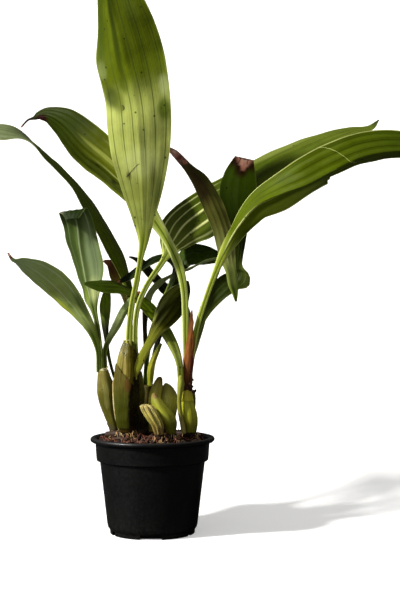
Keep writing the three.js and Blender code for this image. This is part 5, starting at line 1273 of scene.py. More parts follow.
# %% Stems
HUSK = (128, 98, 66)
MAROON = (44, 14, 4)
STEM_LOOKS = {
    "pseudobulb_left": dict(
        top=(138, 128, 56), middle=(98, 94, 32), bottom=(94, 90, 24), dark=(66, 64, 20),
        heights=(104, 164), stains_and_light=[((-49, -10, 163.4), (9, 10, 1.6), (196, 194, 150), 0.9),
        ((-41, -12, 150), (4, 6, 9), (86, 94, 48), 0.5),
        ((-45, -15, 136), (3, 6, 14), (118, 116, 60), 0.5),
        ((-38, -8, 100), (8, 9, 5), (34, 26, 16), 0.9)]),
    "pseudobulb_centre": dict(
        # Painted light and shade: the near-black stain at (-13, -22, 130) is partly a dark dead sheath and
        # partly painted shade on the right side, the dark one at (-14, -20, 170) is painted shade, and the
        # pale one at (-31, -22, 172) is a painted highlight on the left edge.
        top=(104, 98, 26), middle=(100, 88, 16), bottom=(46, 32, 6), dark=(66, 54, 8),
        heights=(104, 190), gloss=0.2, fibres=0.6, stains_and_light=[((-21, -28, 136), (5, 8, 17), MAROON, 0.9),
        ((-13, -22, 130), (9.5, 12, 40), (18, 8, 2), 0.98), ((-25, -27, 98), (9, 9, 4), HUSK, 0.9),
        ((-14, -20, 170), (6, 10, 20), (46, 36, 6), 0.85),
        ((-31, -22, 172), (4, 8, 14), (150, 140, 62), 0.6),
        ((-23, -22, 193), (9, 9, 1.2), (196, 188, 104), 0.9),
        ((-26, -27, 165), (2, 6, 14), (168, 152, 84), 0.5)]),
    "pseudobulb_back": dict(
        top=(84, 76, 30), middle=(96, 92, 34), bottom=(50, 42, 20), dark=(48, 44, 16),
        heights=(99, 146)),
    # Painted light: `middle` is made lighter than the bulb's own colour, so the part that lies in shade
    # shows lit.
    "pseudobulb_finger": dict(
        top=(84, 60, 24), middle=(190, 184, 78), bottom=(120, 112, 30), dark=(118, 110, 34),
        heights=(112, 158)),
    "pseudobulb_front": dict(
        top=(150, 146, 56), middle=(154, 156, 48), bottom=(92, 94, 14), dark=(104, 106, 22),
        heights=(106, 142), stains_and_light=[((4, -29, 139), (4, 5, 4), (128, 96, 56), 0.8)]),
    # Painted light: `middle` is made lighter than the bulb's own colour, so the part in shade shows lit,
    # and the pale stain at (25, -23, 138) is a painted highlight.
    "pseudobulb_short": dict(
        top=(120, 114, 44), middle=(184, 182, 86), bottom=(74, 72, 16), dark=(110, 108, 40),
        heights=(108, 152), stains_and_light=[((25, -23, 138), (3.4, 6, 7), (214, 212, 134), 0.6),
        ((29, -21, 128), (3, 8, 14), (58, 56, 10), 0.6)]),
    "pseudobulb_shrivelled": dict(
        top=(214, 196, 122), middle=(206, 192, 96), bottom=(150, 126, 70), dark=(70, 58, 14),
        heights=(104, 131), gloss=0.5, fibres=0.85),
    "pseudobulb_right": dict(
        top=(178, 172, 56), middle=(176, 178, 48), bottom=(100, 100, 14), dark=(116, 114, 24),
        heights=(104, 146), stains_and_light=[((34, -12, 146), (8, 8, 4), (96, 58, 34), 0.85)]),
    "pseudobulb_rear_left": dict(
        top=(104, 110, 50), middle=(86, 90, 40), bottom=(62, 58, 30), dark=(50, 52, 24),
        heights=(99, 138)),
    "pseudobulb_rear_centre": dict(
        top=(60, 58, 20), middle=(44, 40, 14), bottom=(30, 26, 12), dark=(26, 24, 8),
        heights=(99, 138)),
    "pseudobulb_rear_right": dict(
        top=(108, 114, 52), middle=(88, 90, 40), bottom=(64, 58, 30), dark=(52, 52, 24),
        heights=(99, 141)),
    "sheath_left": dict(
        top=(148, 152, 58), middle=(140, 138, 52), bottom=(160, 146, 84), dark=(96, 96, 30),
        heights=(104, 150)),
    "sheath_new_growth": dict(
        top=(120, 116, 34), middle=(84, 78, 24), bottom=(40, 30, 12), dark=(54, 46, 14),
        heights=(108, 152)),
}
STEM_SLOTS = {
    "pseudobulb_centre": "bulb_olive", "pseudobulb_back": "bulb_olive",
    "pseudobulb_rear_left": "bulb_olive", "pseudobulb_rear_centre": "bulb_olive",
    "pseudobulb_rear_right": "bulb_olive", "pseudobulb_shrivelled": "bulb_dry",
    "sheath_left": "sheath_green", "sheath_new_growth": "sheath_green"}

for stem_name, stations in STEMS.items():
    ribs, rib_share, wrinkle = STEM_RIBS[stem_name]
    mesh = grow(
        polyline(stem_name + "_stem", [stations]), STEM_TREE, ribs=ribs, rib_share=rib_share,
        wrinkle=wrinkle * MM, material=stem_finish(stem_name, **STEM_LOOKS[stem_name]))
    show(mesh, stem_name + "_stem", STEM_SLOTS.get(stem_name, "bulb_green"), stem_name)
print("stem pieces:", len(STEMS))

# %% [markdown]
# A tall brown sheath stands on the right bulb and holds three leaf stalks. It is dry paper rolled
# round them, closed below and opening to a torn point above. Cloth could be wrapped, but a sheet
# of points with an opening angle at each height gives the roll and its torn edge directly.

# %% Brown sheath
WRAP_STATIONS = [
    (33.9, -10.5, 142, 4.9, 0, 360), (34.2, -11, 150, 4.5, 0, 360), (34.9, -12.5, 160, 4.3, 0, 360),
    (35.9, -13.4, 170, 4.2, 0, 360), (37, -14.2, 180, 4.2, 4, 356), (38.6, -15.6, 190, 4, 60, 320),
    (39.8, -17, 200, 3.6, 120, 290), (40.6, -18, 210, 3.2, 160, 276), (41, -18.5, 217, 2.7, 186, 262),
    (41.4, -18.8, 222, 2.2, 208, 234)]
WRAP_ROWS = 90
WRAP_COLUMNS = 60
WRAP_THICKNESS = 0.5


def station_at(stations, share):
    place = share * (len(stations) - 1)
    i = min(int(place), len(stations) - 2)
    low, high = np.array(stations[i]), np.array(stations[i + 1])
    return low + (place - i) * (high - low)


def wrapped(rows, columns, place):
    """Grids of inner and outer points round a stem; place gives centre, angle, skin and thickness."""
    inner, outer, grain = np.zeros((3, rows + 1, columns + 1, 3))
    for i in range(rows + 1):
        for j in range(columns + 1):
            centre, angle, skin, thick = place(i / rows, j / columns)
            around = np.array([math.cos(angle), math.sin(angle), 0])
            inner[i, j] = centre + skin * around
            outer[i, j] = inner[i, j] + thick * around
            grain[i, j] = [around[0], around[1], centre[2] * MM]
    return inner, outer, {"grain": (grain, grain)}


def wrap_place(down, u):
    x, y, z, radius, first, last = station_at(WRAP_STATIONS, down)
    torn = 14 * noise.noise(Vector((z / 9, 3 if u < 0.5 else 8, 1))) * abs(2 * u - 1) ** 4
    angle = math.radians(first + (last - first) * u + torn)
    crumple = 0.5 * noise.noise(Vector((angle * 2, z / 14, 2)))
    crumple = crumple + 0.3 * noise.noise(Vector((angle * 5, z / 7, 5)))
    skin = radius * (1 + 0.03 * math.cos(7 * angle)) + crumple + 0.4 * u
    return np.array([x, y, z]), angle, skin, WRAP_THICKNESS


WRAP_LOOK = dict(
    top=(92, 50, 18), middle=(156, 92, 32), bottom=(84, 44, 16), dark=(62, 28, 6), heights=(142, 222),
    gloss=0.5, fibres=0.7, specks=0.3, stains_and_light=[((38, -18, 146), (5, 6, 6), (70, 34, 24), 0.85),
    ((39.5, -17, 165), (2.5, 6, 16), (96, 36, 20), 0.8)])
inner, outer, grain = wrapped(WRAP_ROWS, WRAP_COLUMNS, wrap_place)
wrap = sheet_mesh("sheath_brown_wrap", inner, outer, grain)
wrap.materials.append(stem_finish("sheath_brown", **WRAP_LOOK))
show(wrap, "sheath_brown_wrap", "sheath_dry", "sheath_brown")
print("sheath points:", len(wrap.vertices))

# %% [markdown]
# Bracts are the dry or green scale leaves that clasp a stem. Each is a thin closed sheet wrapped
# part of the way round its stem, with a pointed upper edge that is a little torn. It reads the
# stem's own stations, so it lies on the skin wherever the stem leans.

# %% Bracts
# The stem it clasps, first and last angle, lowest and highest share of the stem, and the peak
BRACTS = {
    "bract_centre": ("pseudobulb_centre", 176, 302, 0.38, 0.95, 0.2),
    "bract_left": ("pseudobulb_left", 150, 300, 0.78, 0.97, 0.5),
    "bract_right": ("pseudobulb_right", 205, 335, 0.02, 0.3, 0.5)}
BRACT_GAP = 0.45
BRACT_ROWS = 44
BRACT_COLUMNS = 72
BRACT_LOOKS = {
    "bract_centre": dict(
        top=(92, 82, 16), middle=(66, 70, 2), bottom=(58, 60, 2), dark=(42, 42, 2), heights=(102, 158),
        # The near-black stain at (-14.5, -28, 126) is partly a dark dead sheath and partly painted shade on
        # the right side.
        stains_and_light=[((-14.5, -28, 126), (10, 12, 42), (18, 8, 2), 0.98),
        ((-38, -17, 152), (2.6, 6, 22), (186, 168, 104), 0.85),
        ((-38.5, -17, 120), (2.2, 6, 26), (176, 160, 92), 0.8),
        ((-23, -29, 150), (4, 6, 10), (86, 56, 16), 0.7), ((-25, -27, 100), (9, 9, 5), HUSK, 0.9)]),
    "bract_left": dict(
        top=(116, 108, 66), middle=(92, 86, 50), bottom=(62, 52, 32), dark=(56, 48, 28),
        heights=(100, 118), gloss=0.5),
    "bract_right": dict(
        top=(92, 52, 28), middle=(180, 170, 52), bottom=(200, 196, 46), dark=(126, 112, 30),
        heights=(133, 150), gloss=0.5, stains_and_light=[((40, -17, 141), (2.2, 4, 2.4), (36, 22, 14), 0.95)]),
}


def bract_mesh(name, stem, first_angle, last_angle, first_share, last_share, peak):
    ribs, rib_share, _ = STEM_RIBS[stem]

    def place(down, u):
        angle = math.radians(first_angle + (last_angle - first_angle) * u)
        torn = 0.07 * noise.noise(Vector((u * 9, len(name), 0)))
        torn = torn + 0.05 * noise.noise(Vector((u * 31, 4, 1)))
        from_peak = abs(u - peak) / max(peak, 1 - peak)
        start = first_share + (0.42 * from_peak ** 1.2 + max(torn, -0.04)) * (last_share - first_share)
        x, y, z, radius = station_at(STEMS[stem], last_share + (start - last_share) * down)
        loose = 0.5 * down * noise.noise(Vector((u * 5, down * 2, 7)))
        skin = radius * (1.03 + rib_share * math.cos(ribs * angle)) + BRACT_GAP + max(0, loose)
        return np.array([x, y, z]), angle, skin, 0.75 - 0.4 * down

    inner, outer, grain = wrapped(BRACT_ROWS, BRACT_COLUMNS, place)
    return sheet_mesh(name, outer, inner, grain)


for bract_name, route in BRACTS.items():
    mesh = bract_mesh(bract_name + "_scale", *route)
    mesh.materials.append(stem_finish(bract_name, **BRACT_LOOKS[bract_name]))
    slot = "sheath_green" if bract_name == "bract_centre" else "sheath_dry"
    show(mesh, bract_name + "_scale", slot, bract_name)
print("bract pieces:", len(BRACTS))

# %% [markdown]
# The pot is a thin thermoformed shell: a rolled lip, a shallow collar with a sharp step below it, a
# tapered body and a foot. Its outline is turned about the axis. A Bevel modifier could round the
# corners, but a mould leaves a different radius at each, so each corner of the outline has its own.

# %% Pot shell
POT_OUTLINE = [
    (0, 0), (42.2, 0), (42.6, 4.4), (44.2, 6), (45, 8.7), (52.4, 71.3), (52.9, 71.9), (55.8, 72.7),
    (57, 89.8), (60.8, 91), (62, 92.2), (62, 94.3), (60.8, 95.5), (57.6, 95.5), (55.4, 93.7),
    (53.5, 73.3), (50.7, 70), (43.4, 8.7), (40.6, 2.4), (0, 2.4)]
CORNER_ROUND = [
    0, 0.7, 1.2, 1, 1.2, 0.5, 0.5, 0.8, 0.8, 0.8, 1.1, 1.1, 1.1, 1.2, 1.2, 1.2, 2.4, 1.2, 0.7, 0]
POT_SIDES = 180


def rounded_outline():
    """The outline with a short arc of points at each corner."""
    path = []
    for i, (corner, size) in enumerate(zip(POT_OUTLINE, CORNER_ROUND)):
        here = np.array(corner, float)
        if size == 0:
            path.append(here)
            continue
        back, ahead = np.array(POT_OUTLINE[i - 1], float) - here, np.array(POT_OUTLINE[i + 1], float) - here
        cut = min(size, np.linalg.norm(back) * 0.45, np.linalg.norm(ahead) * 0.45)
        start, finish = here + unit(back) * cut, here + unit(ahead) * cut
        for t in np.linspace(0, 1, 5):
            path.append((1 - t) ** 2 * start + 2 * t * (1 - t) * here + t * t * finish)
    return path


def ring(radius, height, sides):
    turns = [2 * math.pi * k / sides for k in range(sides)]
    return [(radius * math.cos(turn), radius * math.sin(turn), height) for turn in turns]


def turned_mesh(name, rings):
    """A closed mesh of rings between two poles: outwards from the upper one, down and back in."""
    sides = len(rings[1])
    points = [tuple(c * MM for c in point) for level in rings for point in level]
    last = len(points) - 1 - sides
    faces = []
    for k in range(sides):
        after = (k + 1) % sides
        faces.append((0, 1 + k, 1 + after))
        faces.append((len(points) - 1, last + after, last + k))
        for a in range(1, last, sides):
            faces.append((a + k, a + sides + k, a + sides + after, a + after))
    mesh = bpy.data.meshes.new(name)
    mesh.from_pydata(points, [], faces)
    mesh.shade_smooth()
    return mesh


outline = rounded_outline()[::-1]
rings = [[(0, 0, outline[0][1])], *(ring(*place, POT_SIDES) for place in outline[1:-1]), [(0, 0, 0)]]
pot_uncut = turned_mesh("pot_shell", rings)
print("pot faces before its notches:", len(pot_uncut.polygons))

# %% [markdown]
# Five drainage notches open the foot: three wide ones, and a narrow one at each side of the front.
# They could be modelled into the rings, but a boolean cuts them cleanly. Shading turns sharp at
# their edges.

# %% Pot notches
# The heading of each notch in degrees, from the front, and its width in mm
NOTCHES = {0: 21, 62: 6, 144: 21, 216: 21, 298: 6}
NOTCH_DEPTH = 14
NOTCH_RISE = 9
FOOT_RADIUS = 42.2
POT_SHARP_ANGLE = 38


def notch_cutter():
    cutters = bmesh.new()
    for heading, width in NOTCHES.items():
        turn = math.radians(heading)
        for vert in bmesh.ops.create_cube(cutters, size=1)["verts"]:
            x, y, z = (c * size * MM for c, size in zip(vert.co, (width, NOTCH_DEPTH, NOTCH_RISE)))
            y -= FOOT_RADIUS * MM
            vert.co = (x * math.cos(turn) - y * math.sin(turn), x * math.sin(turn) + y * math.cos(turn), z)
    mesh = bpy.data.meshes.new("notches")
    cutters.to_mesh(mesh)
    cutters.free()
    return mesh


def cut(mesh, cutter_mesh):
    pot = placed("pot_uncut", mesh)
    cutter = placed("notches", cutter_mesh)
    modifier = pot.modifiers.new("cut", "BOOLEAN")
    modifier.object = cutter
    modifier.operation = "DIFFERENCE"
    modifier.solver = "EXACT"
    graph = bpy.context.evaluated_depsgraph_get()
    result = bpy.data.meshes.new_from_object(pot.evaluated_get(graph), depsgraph=graph)
    bpy.data.objects.remove(pot)
    bpy.data.objects.remove(cutter)
    result.shade_smooth()
    result.set_sharp_from_angle(angle=math.radians(POT_SHARP_ANGLE))
    return result


pot_shell = cut(pot_uncut, notch_cutter())
print("pot faces:", len(pot_shell.polygons))

# %% [markdown]
# Black nursery plastic is satin, drawn upwards by the mould, and dusty near the foot. Its black is
# not zero, and the top of the lip is painted a little greyer, as a painted highlight. Noise stretched
# along the height gives the drawn lines, and the dust is a fine cloud.

# %% Pot finish
def pot_finish():
    material, tree, spot = finish_start("pot_plastic", 0.32, 0.4)
    height = split(tree, spot)[2]
    cloud = cloudy(tree, spot, 28.0, 0.3)
    dust = cloudy(tree, spot, 420.0, 0.12)
    drawn = noisy(tree, vector(tree, "MULTIPLY", spot, (160.0, 160.0, 9.0)), 1.0, 3.0)
    low = between(tree, height, 0.0, 0.03, 1.0, 0.0)
    dusty = times(tree, dust, plus(tree, times(tree, low, 0.18), 0.07))
    colour = mix(tree, cloud, (0.0008, 0.0009, 0.001, 1), (0.0016, 0.0017, 0.0018, 1))
    colour = mix(tree, dusty, colour, (0.024, 0.022, 0.019, 1))
    # Painted highlight: the top of the lip is painted a little greyer.
    colour = mix(tree, between(tree, height, 0.0935, 0.0955), colour, (0.016, 0.016, 0.0165, 1))
    rough = plus(tree, times(tree, cloud, 0.08), 0.32, times(tree, dust, 0.06))
    relief = plus(tree, times(tree, drawn, 0.7), times(tree, dust, 0.15))
    return finish_end(material, colour, rough, relief, 0.12, 0.0006)


pot_shell.materials.clear()
pot_shell.materials.append(pot_finish())
show(pot_shell, "pot_shell", "pot_plastic", "pot")
print("pot material:", pot_shell.materials[0].name)

# %% [markdown]
# The growing medium is bark. One solid fills the pot up to a low mound, whose height anywhere is a
# sum of slow waves, and noise roughens its top. Chips and roots cover it in the cells after this
# one, and with no mound between them the pot would look hollow.

# %% Bark mound
SOIL_RADIUS = 55.4
SOIL_PROFILE = [
    (54.2, 90), (53.9, 88.5), (52.6, 73.3), (49.8, 70), (42.5, 8.7), (40.7, 4.8), (34.3, 4.8),
    (33.5, 2.7)]
BARK_WAVES = [(0.55, 0.41, 0.14, 0.3), (0.45, -0.19, 0.37, 0.8), (0.35, 0.83, -0.71, 2.1)]
MOUND_RINGS = 60
MOUND_SIDES = 180
MOUND_SINK = 1.2


def soil_height(x, y):
    share = min(1, math.hypot(x, y) / SOIL_RADIUS)
    lumps = sum(height * math.sin(a * x + b * y + phase) for height, a, b, phase in BARK_WAVES)
    return 91.5 + 5 * (1 - share * share) + lumps


def rough_height(x, y):
    return soil_height(x, y) + (1.3 * noise.noise(Vector((x / 3.2, y / 3.2, 5))) - MOUND_SINK)


def mound_mesh():
    rings = [[(0, 0, soil_height(0, 0) - MOUND_SINK)]]
    for i in range(1, MOUND_RINGS + 1):
        flat = ring(SOIL_PROFILE[0][0] * i / MOUND_RINGS, 0, MOUND_SIDES)
        rings.append([(x, y, rough_height(x, y)) for x, y, _ in flat])
    rings += [ring(*place, MOUND_SIDES) for place in SOIL_PROFILE]
    return turned_mesh("bark_mound", rings + [[(0, 0, SOIL_PROFILE[-1][1])]])


def bark_finish(name, dark, light, red):
    material, tree, spot = finish_start(name, 0.8, 0.25)
    cloud = cloudy(tree, spot, 150.0, 0.18)
    fine = cloudy(tree, spot, 900.0, 0.16)
    layers = noisy(tree, vector(tree, "MULTIPLY", spot, (260.0, 420.0, 1300.0)), 1.0, 3.0)
    colour = mix(tree, cloud, dark, light)
    colour = mix(tree, times(tree, between(tree, layers, 0.5, 0.66), 0.5), colour, red)
    colour = mix(tree, times(tree, fine, 0.4), colour, (20, 14, 10))
    rough = plus(tree, times(tree, cloud, 0.2), 0.68)
    relief = plus(tree, layers, times(tree, fine, 0.5))
    return finish_end(material, colour, rough, relief, 0.7, 0.0006)


mound = mound_mesh()
mound.materials.append(bark_finish("bark_mound", (18, 11, 8), (42, 26, 18), (56, 32, 22)))
show(mound, "bark_mound", "bark", "substrate")
print("mound faces:", len(mound.polygons))

# %% [markdown]
# Bark chips are scattered over the mound by a tree: points a set distance apart, a lump on each,
# turned and squashed at random, and pushed in and out by a cell texture, so it breaks into flat
# faces. A few modelled chips could be copied instead, but here no two are alike.

# %% Bark chips
def random_vector(tree, low, high, seed):
    inputs = {"Min": low, "Max": high, "Seed": seed}
    return made(tree, "FunctionNodeRandomValue", inputs, data_type="FLOAT_VECTOR")


def points_on_bark(tree, given):
    """Points on the ground's upper side, Spacing apart and within Reach of the axis."""
    up = split(tree, made(tree, "GeometryNodeInputNormal"))[2]
    flat = vector(tree, "MULTIPLY", position(tree), (1, 1, 0))
    inside = maths(tree, "LESS_THAN", vector(tree, "LENGTH", flat), given["Reach"])
    return made(tree, "GeometryNodeDistributePointsOnFaces", {
        "Mesh": given["Ground"], "Selection": times(tree, inside, maths(tree, "GREATER_THAN", up, 0.3)),
        "Distance Min": given["Spacing"], "Density Max": given["Density"], "Seed": given["Seed"]},
        distribute_method="POISSON")


def scatter_tree():
    inputs = {
        "Ground": GEOMETRY, "Spacing": 0.004, "Density": 60000.0, "Size": 0.004, "Roughness": 0.001,
        "Reach": 0.052, "Seed": 3, "Material": MATERIAL}
    tree, given, end = group("scatter", "GeometryNodeTree", inputs, {"Mesh": GEOMETRY})
    lump = made(tree, "GeometryNodeMeshIcoSphere", {"Radius": 1.0, "Subdivisions": 3})
    turn = random_vector(tree, (0, 0, 0), (6.283, 6.283, 6.283), given["Seed"])
    size = random_vector(tree, (0.75, 0.5, 0.2), (1.25, 0.9, 0.45), given["Seed"])
    chips = made(tree, "GeometryNodeInstanceOnPoints", {
        "Points": points_on_bark(tree, given), "Instance": lump, "Rotation": turn,
        "Scale": vector(tree, "SCALE", size, scale=given["Size"])})
    real = made(tree, "GeometryNodeRealizeInstances", {0: chips})
    cells = add(tree, "ShaderNodeTexVoronoi", {"Vector": position(tree), "Scale": 230.0})
    push = times(tree, minus(tree, cells.outputs["Distance"], 0.45), given["Roughness"])
    moved = made(tree, "GeometryNodeSetPosition", {"Geometry": real, "Offset": outward(tree, push)})
    return close(tree, given, end, moved)


SCATTER_TREE = scatter_tree()
CHIPS = {
    "bark_chips_dark": (0.0042, 0.0052, 11, ((16, 10, 7), (38, 25, 17), (56, 34, 22))),
    "bark_chips_red": (0.0030, 0.0078, 23, ((28, 17, 11), (62, 38, 26), (78, 48, 33))),
}
for chips_name, (size, spacing, seed, tones) in CHIPS.items():
    carrier = placed(chips_name, mound.copy())
    chips = grow(
        carrier, SCATTER_TREE, spacing=spacing, size=size, seed=seed, roughness=0.0016,
        material=bark_finish(chips_name, *tones))
    show(chips, chips_name, "bark")
    print(chips_name, "faces:", len(chips.polygons))

# %% [markdown]
# Fine roots mat the bark. The tree strews short lines over the mound, each turned at random. Noise
# bends them sideways, a ray straight down finds the bark under each point, and a slower noise lifts
# some stretches clear of it. Then each line gets a round section. Hair curves would curl as well,
# but they would not lie on the bark.

# %% Fine roots
def tangle_tree():
    inputs = {
        "Ground": GEOMETRY, "Spacing": 0.004, "Density": 60000.0, "Reach": 0.045, "Length": 0.02,
        "Bend": 0.009, "Curl": 85.0, "Lift": 0.004, "Girth": 0.0004, "Seed": 1, "Material": MATERIAL}
    tree, given, end = group("tangle", "GeometryNodeTree", inputs, {"Mesh": GEOMETRY})
    line = made(tree, "GeometryNodeCurvePrimitiveLine", {"Start": (-0.5, 0, 0), "End": (0.5, 0, 0)})
    long = random_vector(tree, (0.5, 0.5, 0.5), (1.3, 1.3, 1.3), given["Seed"])
    strewn = made(tree, "GeometryNodeInstanceOnPoints", {
        "Points": points_on_bark(tree, given),
        "Instance": made(tree, "GeometryNodeResampleCurve", {"Curve": line, "Count": 30}),
        "Rotation": random_vector(tree, (0, 0, 0), (0, 0, 6.283), given["Seed"]),
        "Scale": vector(tree, "SCALE", long, scale=given["Length"])})
    real = made(tree, "GeometryNodeRealizeInstances", {0: strewn})
    curl = {"Vector": position(tree), "Scale": given["Curl"], "Detail": 1.0}
    bend = add(tree, "ShaderNodeTexNoise", curl)
    shift = vector(tree, "SUBTRACT", bend.outputs["Color"], (0.5, 0.5, 0.5))
    shift = vector(tree, "SCALE", vector(tree, "MULTIPLY", shift, (2, 2, 0)), scale=given["Bend"])
    bent = made(tree, "GeometryNodeSetPosition", {"Geometry": real, "Offset": shift})
    here = position(tree)
    x, y, _ = split(tree, here)
    ray = add(tree, "GeometryNodeRaycast", {
        "Target Geometry": given["Ground"], "Source Position": join(tree, x, y, 0.2),
        "Ray Direction": (0, 0, -1), "Ray Length": 0.3})
    raised = times(tree, between(tree, noisy(tree, here, 120.0, 1.0), 0.42, 0.75), given["Lift"])
    lift = join(tree, z=plus(tree, raised, given["Girth"]))
    laid = made(tree, "GeometryNodeSetPosition", {
        "Geometry": bent, "Position": vector(tree, "ADD", ray.outputs["Hit Position"], lift)})
    section = made(tree, "GeometryNodeCurvePrimitiveCircle", {"Resolution": 7, "Radius": 1.0})
    girth = times(tree, given["Girth"], plus(tree, noisy(tree, here, 300.0), 0.5))
    tube = made(tree, "GeometryNodeCurveToMesh", {
        "Curve": laid, "Profile Curve": section, "Scale": girth, "Fill Caps": True})
    return close(tree, given, end, tube)


TANGLE_TREE = tangle_tree()
print("tangle nodes:", len(TANGLE_TREE.nodes))

# %% [markdown]
# Roots are brown, cloudy and dull, with pale dead skin on them. One finish in two colourings makes
# the red and the tan roots of the mat, and it serves the rhizome, threads and fibres later on.

# %% Mat of roots
def root_finish(name, dark, light, pale):
    material, tree, spot = finish_start(name, 0.6, 0.3)
    cloud = cloudy(tree, spot, 110.0, 0.16)
    fine = cloudy(tree, spot, 700.0, 0.2)
    colour = mix(tree, cloud, dark, light)
    colour = mix(tree, times(tree, fine, 0.45), colour, pale)
    rough = plus(tree, times(tree, fine, 0.2), 0.5)
    return finish_end(material, colour, rough, fine, 0.5, 0.0004)


def show_tubes(mesh, name, slot, *nodes):
    mesh.shade_smooth()
    show(mesh, name, slot, *nodes)
    print(name, "faces:", len(mesh.polygons))


RED_ROOTS = root_finish("fine_roots_red", (34, 14, 9), (88, 44, 30), (140, 84, 62))
TAN_ROOTS = root_finish("fine_roots_tan", (52, 28, 18), (104, 64, 44), (154, 108, 78))
TANGLES = {
    "fine_roots_red": dict(
        spacing=0.0042, length=0.024, girth=0.00055, seed=5, lift=0.006, bend=0.010, material=RED_ROOTS),
    "fine_roots_tan": dict(
        spacing=0.0078, length=0.026, girth=0.00065, seed=17, lift=0.004, bend=0.012, material=TAN_ROOTS),
}
for tangle_name, choice in TANGLES.items():
    carrier = placed(tangle_name, mound.copy())
    show_tubes(grow(carrier, TANGLE_TREE, **choice), tangle_name, "root")

# %% [markdown]
# The rhizome and its main roots follow the same routes over the bark as in the CAD model. The roots
# could be drawn one by one, but a small repeatable random source, the same one as there, leads them
# outwards from the rhizome.

# %% Root routes
RHIZOME_ROUTES = [
    [(-45, -6), (-36, -14), (-26, -19), (-14, -12), (-6, 0), (-7, 15), (-9, 28), (-7, 41)],
    [(-6, 0), (4, -8), (16, 0), (27, -6), (36, -8), (41, 0), (39, 11), (35, 22)],
    [(16, 0), (18, -14), (18, -27), (8, -33), (6, -37)],
    [(-8, 28), (-18, 32), (-27, 31)],
]
ROOT_COUNT = 15
ROOT_STEPS = 4
ROOT_STRIDE = 6.5
ROOT_REACH = 50


def root_routes():
    seed = 41

    def random():
        nonlocal seed
        seed = seed * 16807 % 2147483647
        return seed / 2147483647

    starts = [place for route in RHIZOME_ROUTES for place in route]
    routes = []
    for i in range(ROOT_COUNT):
        x, y = starts[i % len(starts)]
        heading = math.atan2(y, x) + (random() - 0.5) * 1.6
        route = [(x, y)]
        for _ in range(ROOT_STEPS):
            heading += (random() - 0.5) * 1.3
            x, y = x + ROOT_STRIDE * math.cos(heading), y + ROOT_STRIDE * math.sin(heading)
            if math.hypot(x, y) > ROOT_REACH:
                break
            route.append((x, y))
        if len(route) > 2:
            routes.append(route)
    return routes


print("root routes:", [len(route) for route in root_routes()])

# %% [markdown]
# A second tree turns lines into round tubes for everything thin: roots, threads, fibres and edges.
# A curve with a bevel would be smooth all along, while this tube swells and shrinks with a noise,
# as roots do. Curve to Mesh suits it, because its section may tilt with the line.

# %% Rhizome and main roots
RHIZOME_GIRTH = 3
ROOT_GIRTH = 1.5
ROOT_SINK = 1.7


def tube_tree():
    inputs = {"Line": GEOMETRY, "Step": 0.0012, "Sides": 20, "Knobbly": 0.35, "Material": MATERIAL}
    tree, given, end = group("tubes", "GeometryNodeTree", inputs, {"Mesh": GEOMETRY})
    curve = smooth_curve(tree, given["Line"])
    fine = made(tree, "GeometryNodeResampleCurve", {"Curve": curve, "Length": given["Step"]}, mode="LENGTH")
    section = made(tree, "GeometryNodeCurvePrimitiveCircle", {"Resolution": given["Sides"], "Radius": 1.0})
    lumps = noisy(tree, position(tree), 170.0, 2.0)
    swell = plus(tree, times(tree, minus(tree, lumps, 0.5), given["Knobbly"]), 1.0)
    tube = made(tree, "GeometryNodeCurveToMesh", {
        "Curve": fine, "Profile Curve": section, "Scale": times(tree, girth_of(tree), swell),
        "Fill Caps": True})
    return close(tree, given, end, tube)


def lying(route, radius):
    return [(x, y, soil_height(x, y) + radius + ROOT_SINK, radius) for x, y in route]


TUBE_TREE = tube_tree()
lines = [lying(route, RHIZOME_GIRTH) for route in RHIZOME_ROUTES]
lines += [lying(route, ROOT_GIRTH) for route in root_routes()]
brown = root_finish("rhizome", (24, 15, 10), (52, 34, 23), (84, 60, 42))
tubes = grow(polyline("rhizome_and_roots_tubes", lines), TUBE_TREE, material=brown)
show_tubes(tubes, "rhizome_and_roots_tubes", "root", "rhizome_and_roots")

# %% [markdown]
# Small things finish the plant. The same tubes, finer, make the pale rolled edges of the sheaths.
# The edge could be part of each sheath's mesh, but it is thicker than the sheath and paler, so a
# strand laid along it is simpler.

# %% Sheath edges
EDGES = [
    [(-31, -26, 164.5, 0.5), (-35.2, -22, 158, 0.7), (-37.8, -18, 152, 0.9), (-38.2, -17, 143, 0.8),
     (-37.6, -17, 131, 0.9), (-36, -18, 118, 0.8), (-33.4, -19, 108, 0.7), (-29.6, -21, 100, 0.9)],
    [(-49.4, -11.5, 164, 0.5), (-45.6, -9.8, 164, 0.6), (-44.1, -6.6, 166.2, 0.4)],
    [(-28.4, -18.6, 192.6, 0.5), (-25.6, -21.4, 192.4, 0.5), (-21.6, -21.4, 192.4, 0.5),
     (-19.6, -19, 192.8, 0.4)],
]


def strands(name, slot, lines, tones):
    material = root_finish(name, *tones)
    mesh = grow(polyline(name, lines), TUBE_TREE, step=0.0008, sides=8, knobbly=0.5, material=material)
    show_tubes(mesh, name, slot)


strands("sheath_edges", "sheath_dry", EDGES, ((150, 128, 74), (196, 180, 120), (216, 204, 150)))

# %% [markdown]
# Two leaves carry marks that stand off the blade: a sharp pale crease where the long right leaf
# bends, and dark scars on the tallest one. Each is a thin strand along places on the leaf's own
# face, given as across, along and girth, so it stays on the blade whatever its shape.

# %% Crease and scars
PALE_CREASE = [
    [(-0.97, 0.657, 0.3), (-0.83, 0.674, 0.34), (-0.6, 0.69, 0.34), (-0.33, 0.7, 0.32), (-0.03, 0.709, 0.3),
     (0.3, 0.717, 0.26), (0.55, 0.72, 0.2)],
]
DARK_SCARS = [
    [(-0.62, 0.427, 0.34), (-0.5, 0.432, 0.42), (-0.36, 0.441, 0.24), (-0.22, 0.449, 0.2),
     (-0.08, 0.456, 0.34), (-0.02, 0.458, 0.2)],
    [(-0.46, 0.604, 0.3), (-0.4, 0.601, 0.34), (-0.4, 0.594, 0.34), (-0.46, 0.591, 0.28)],
]


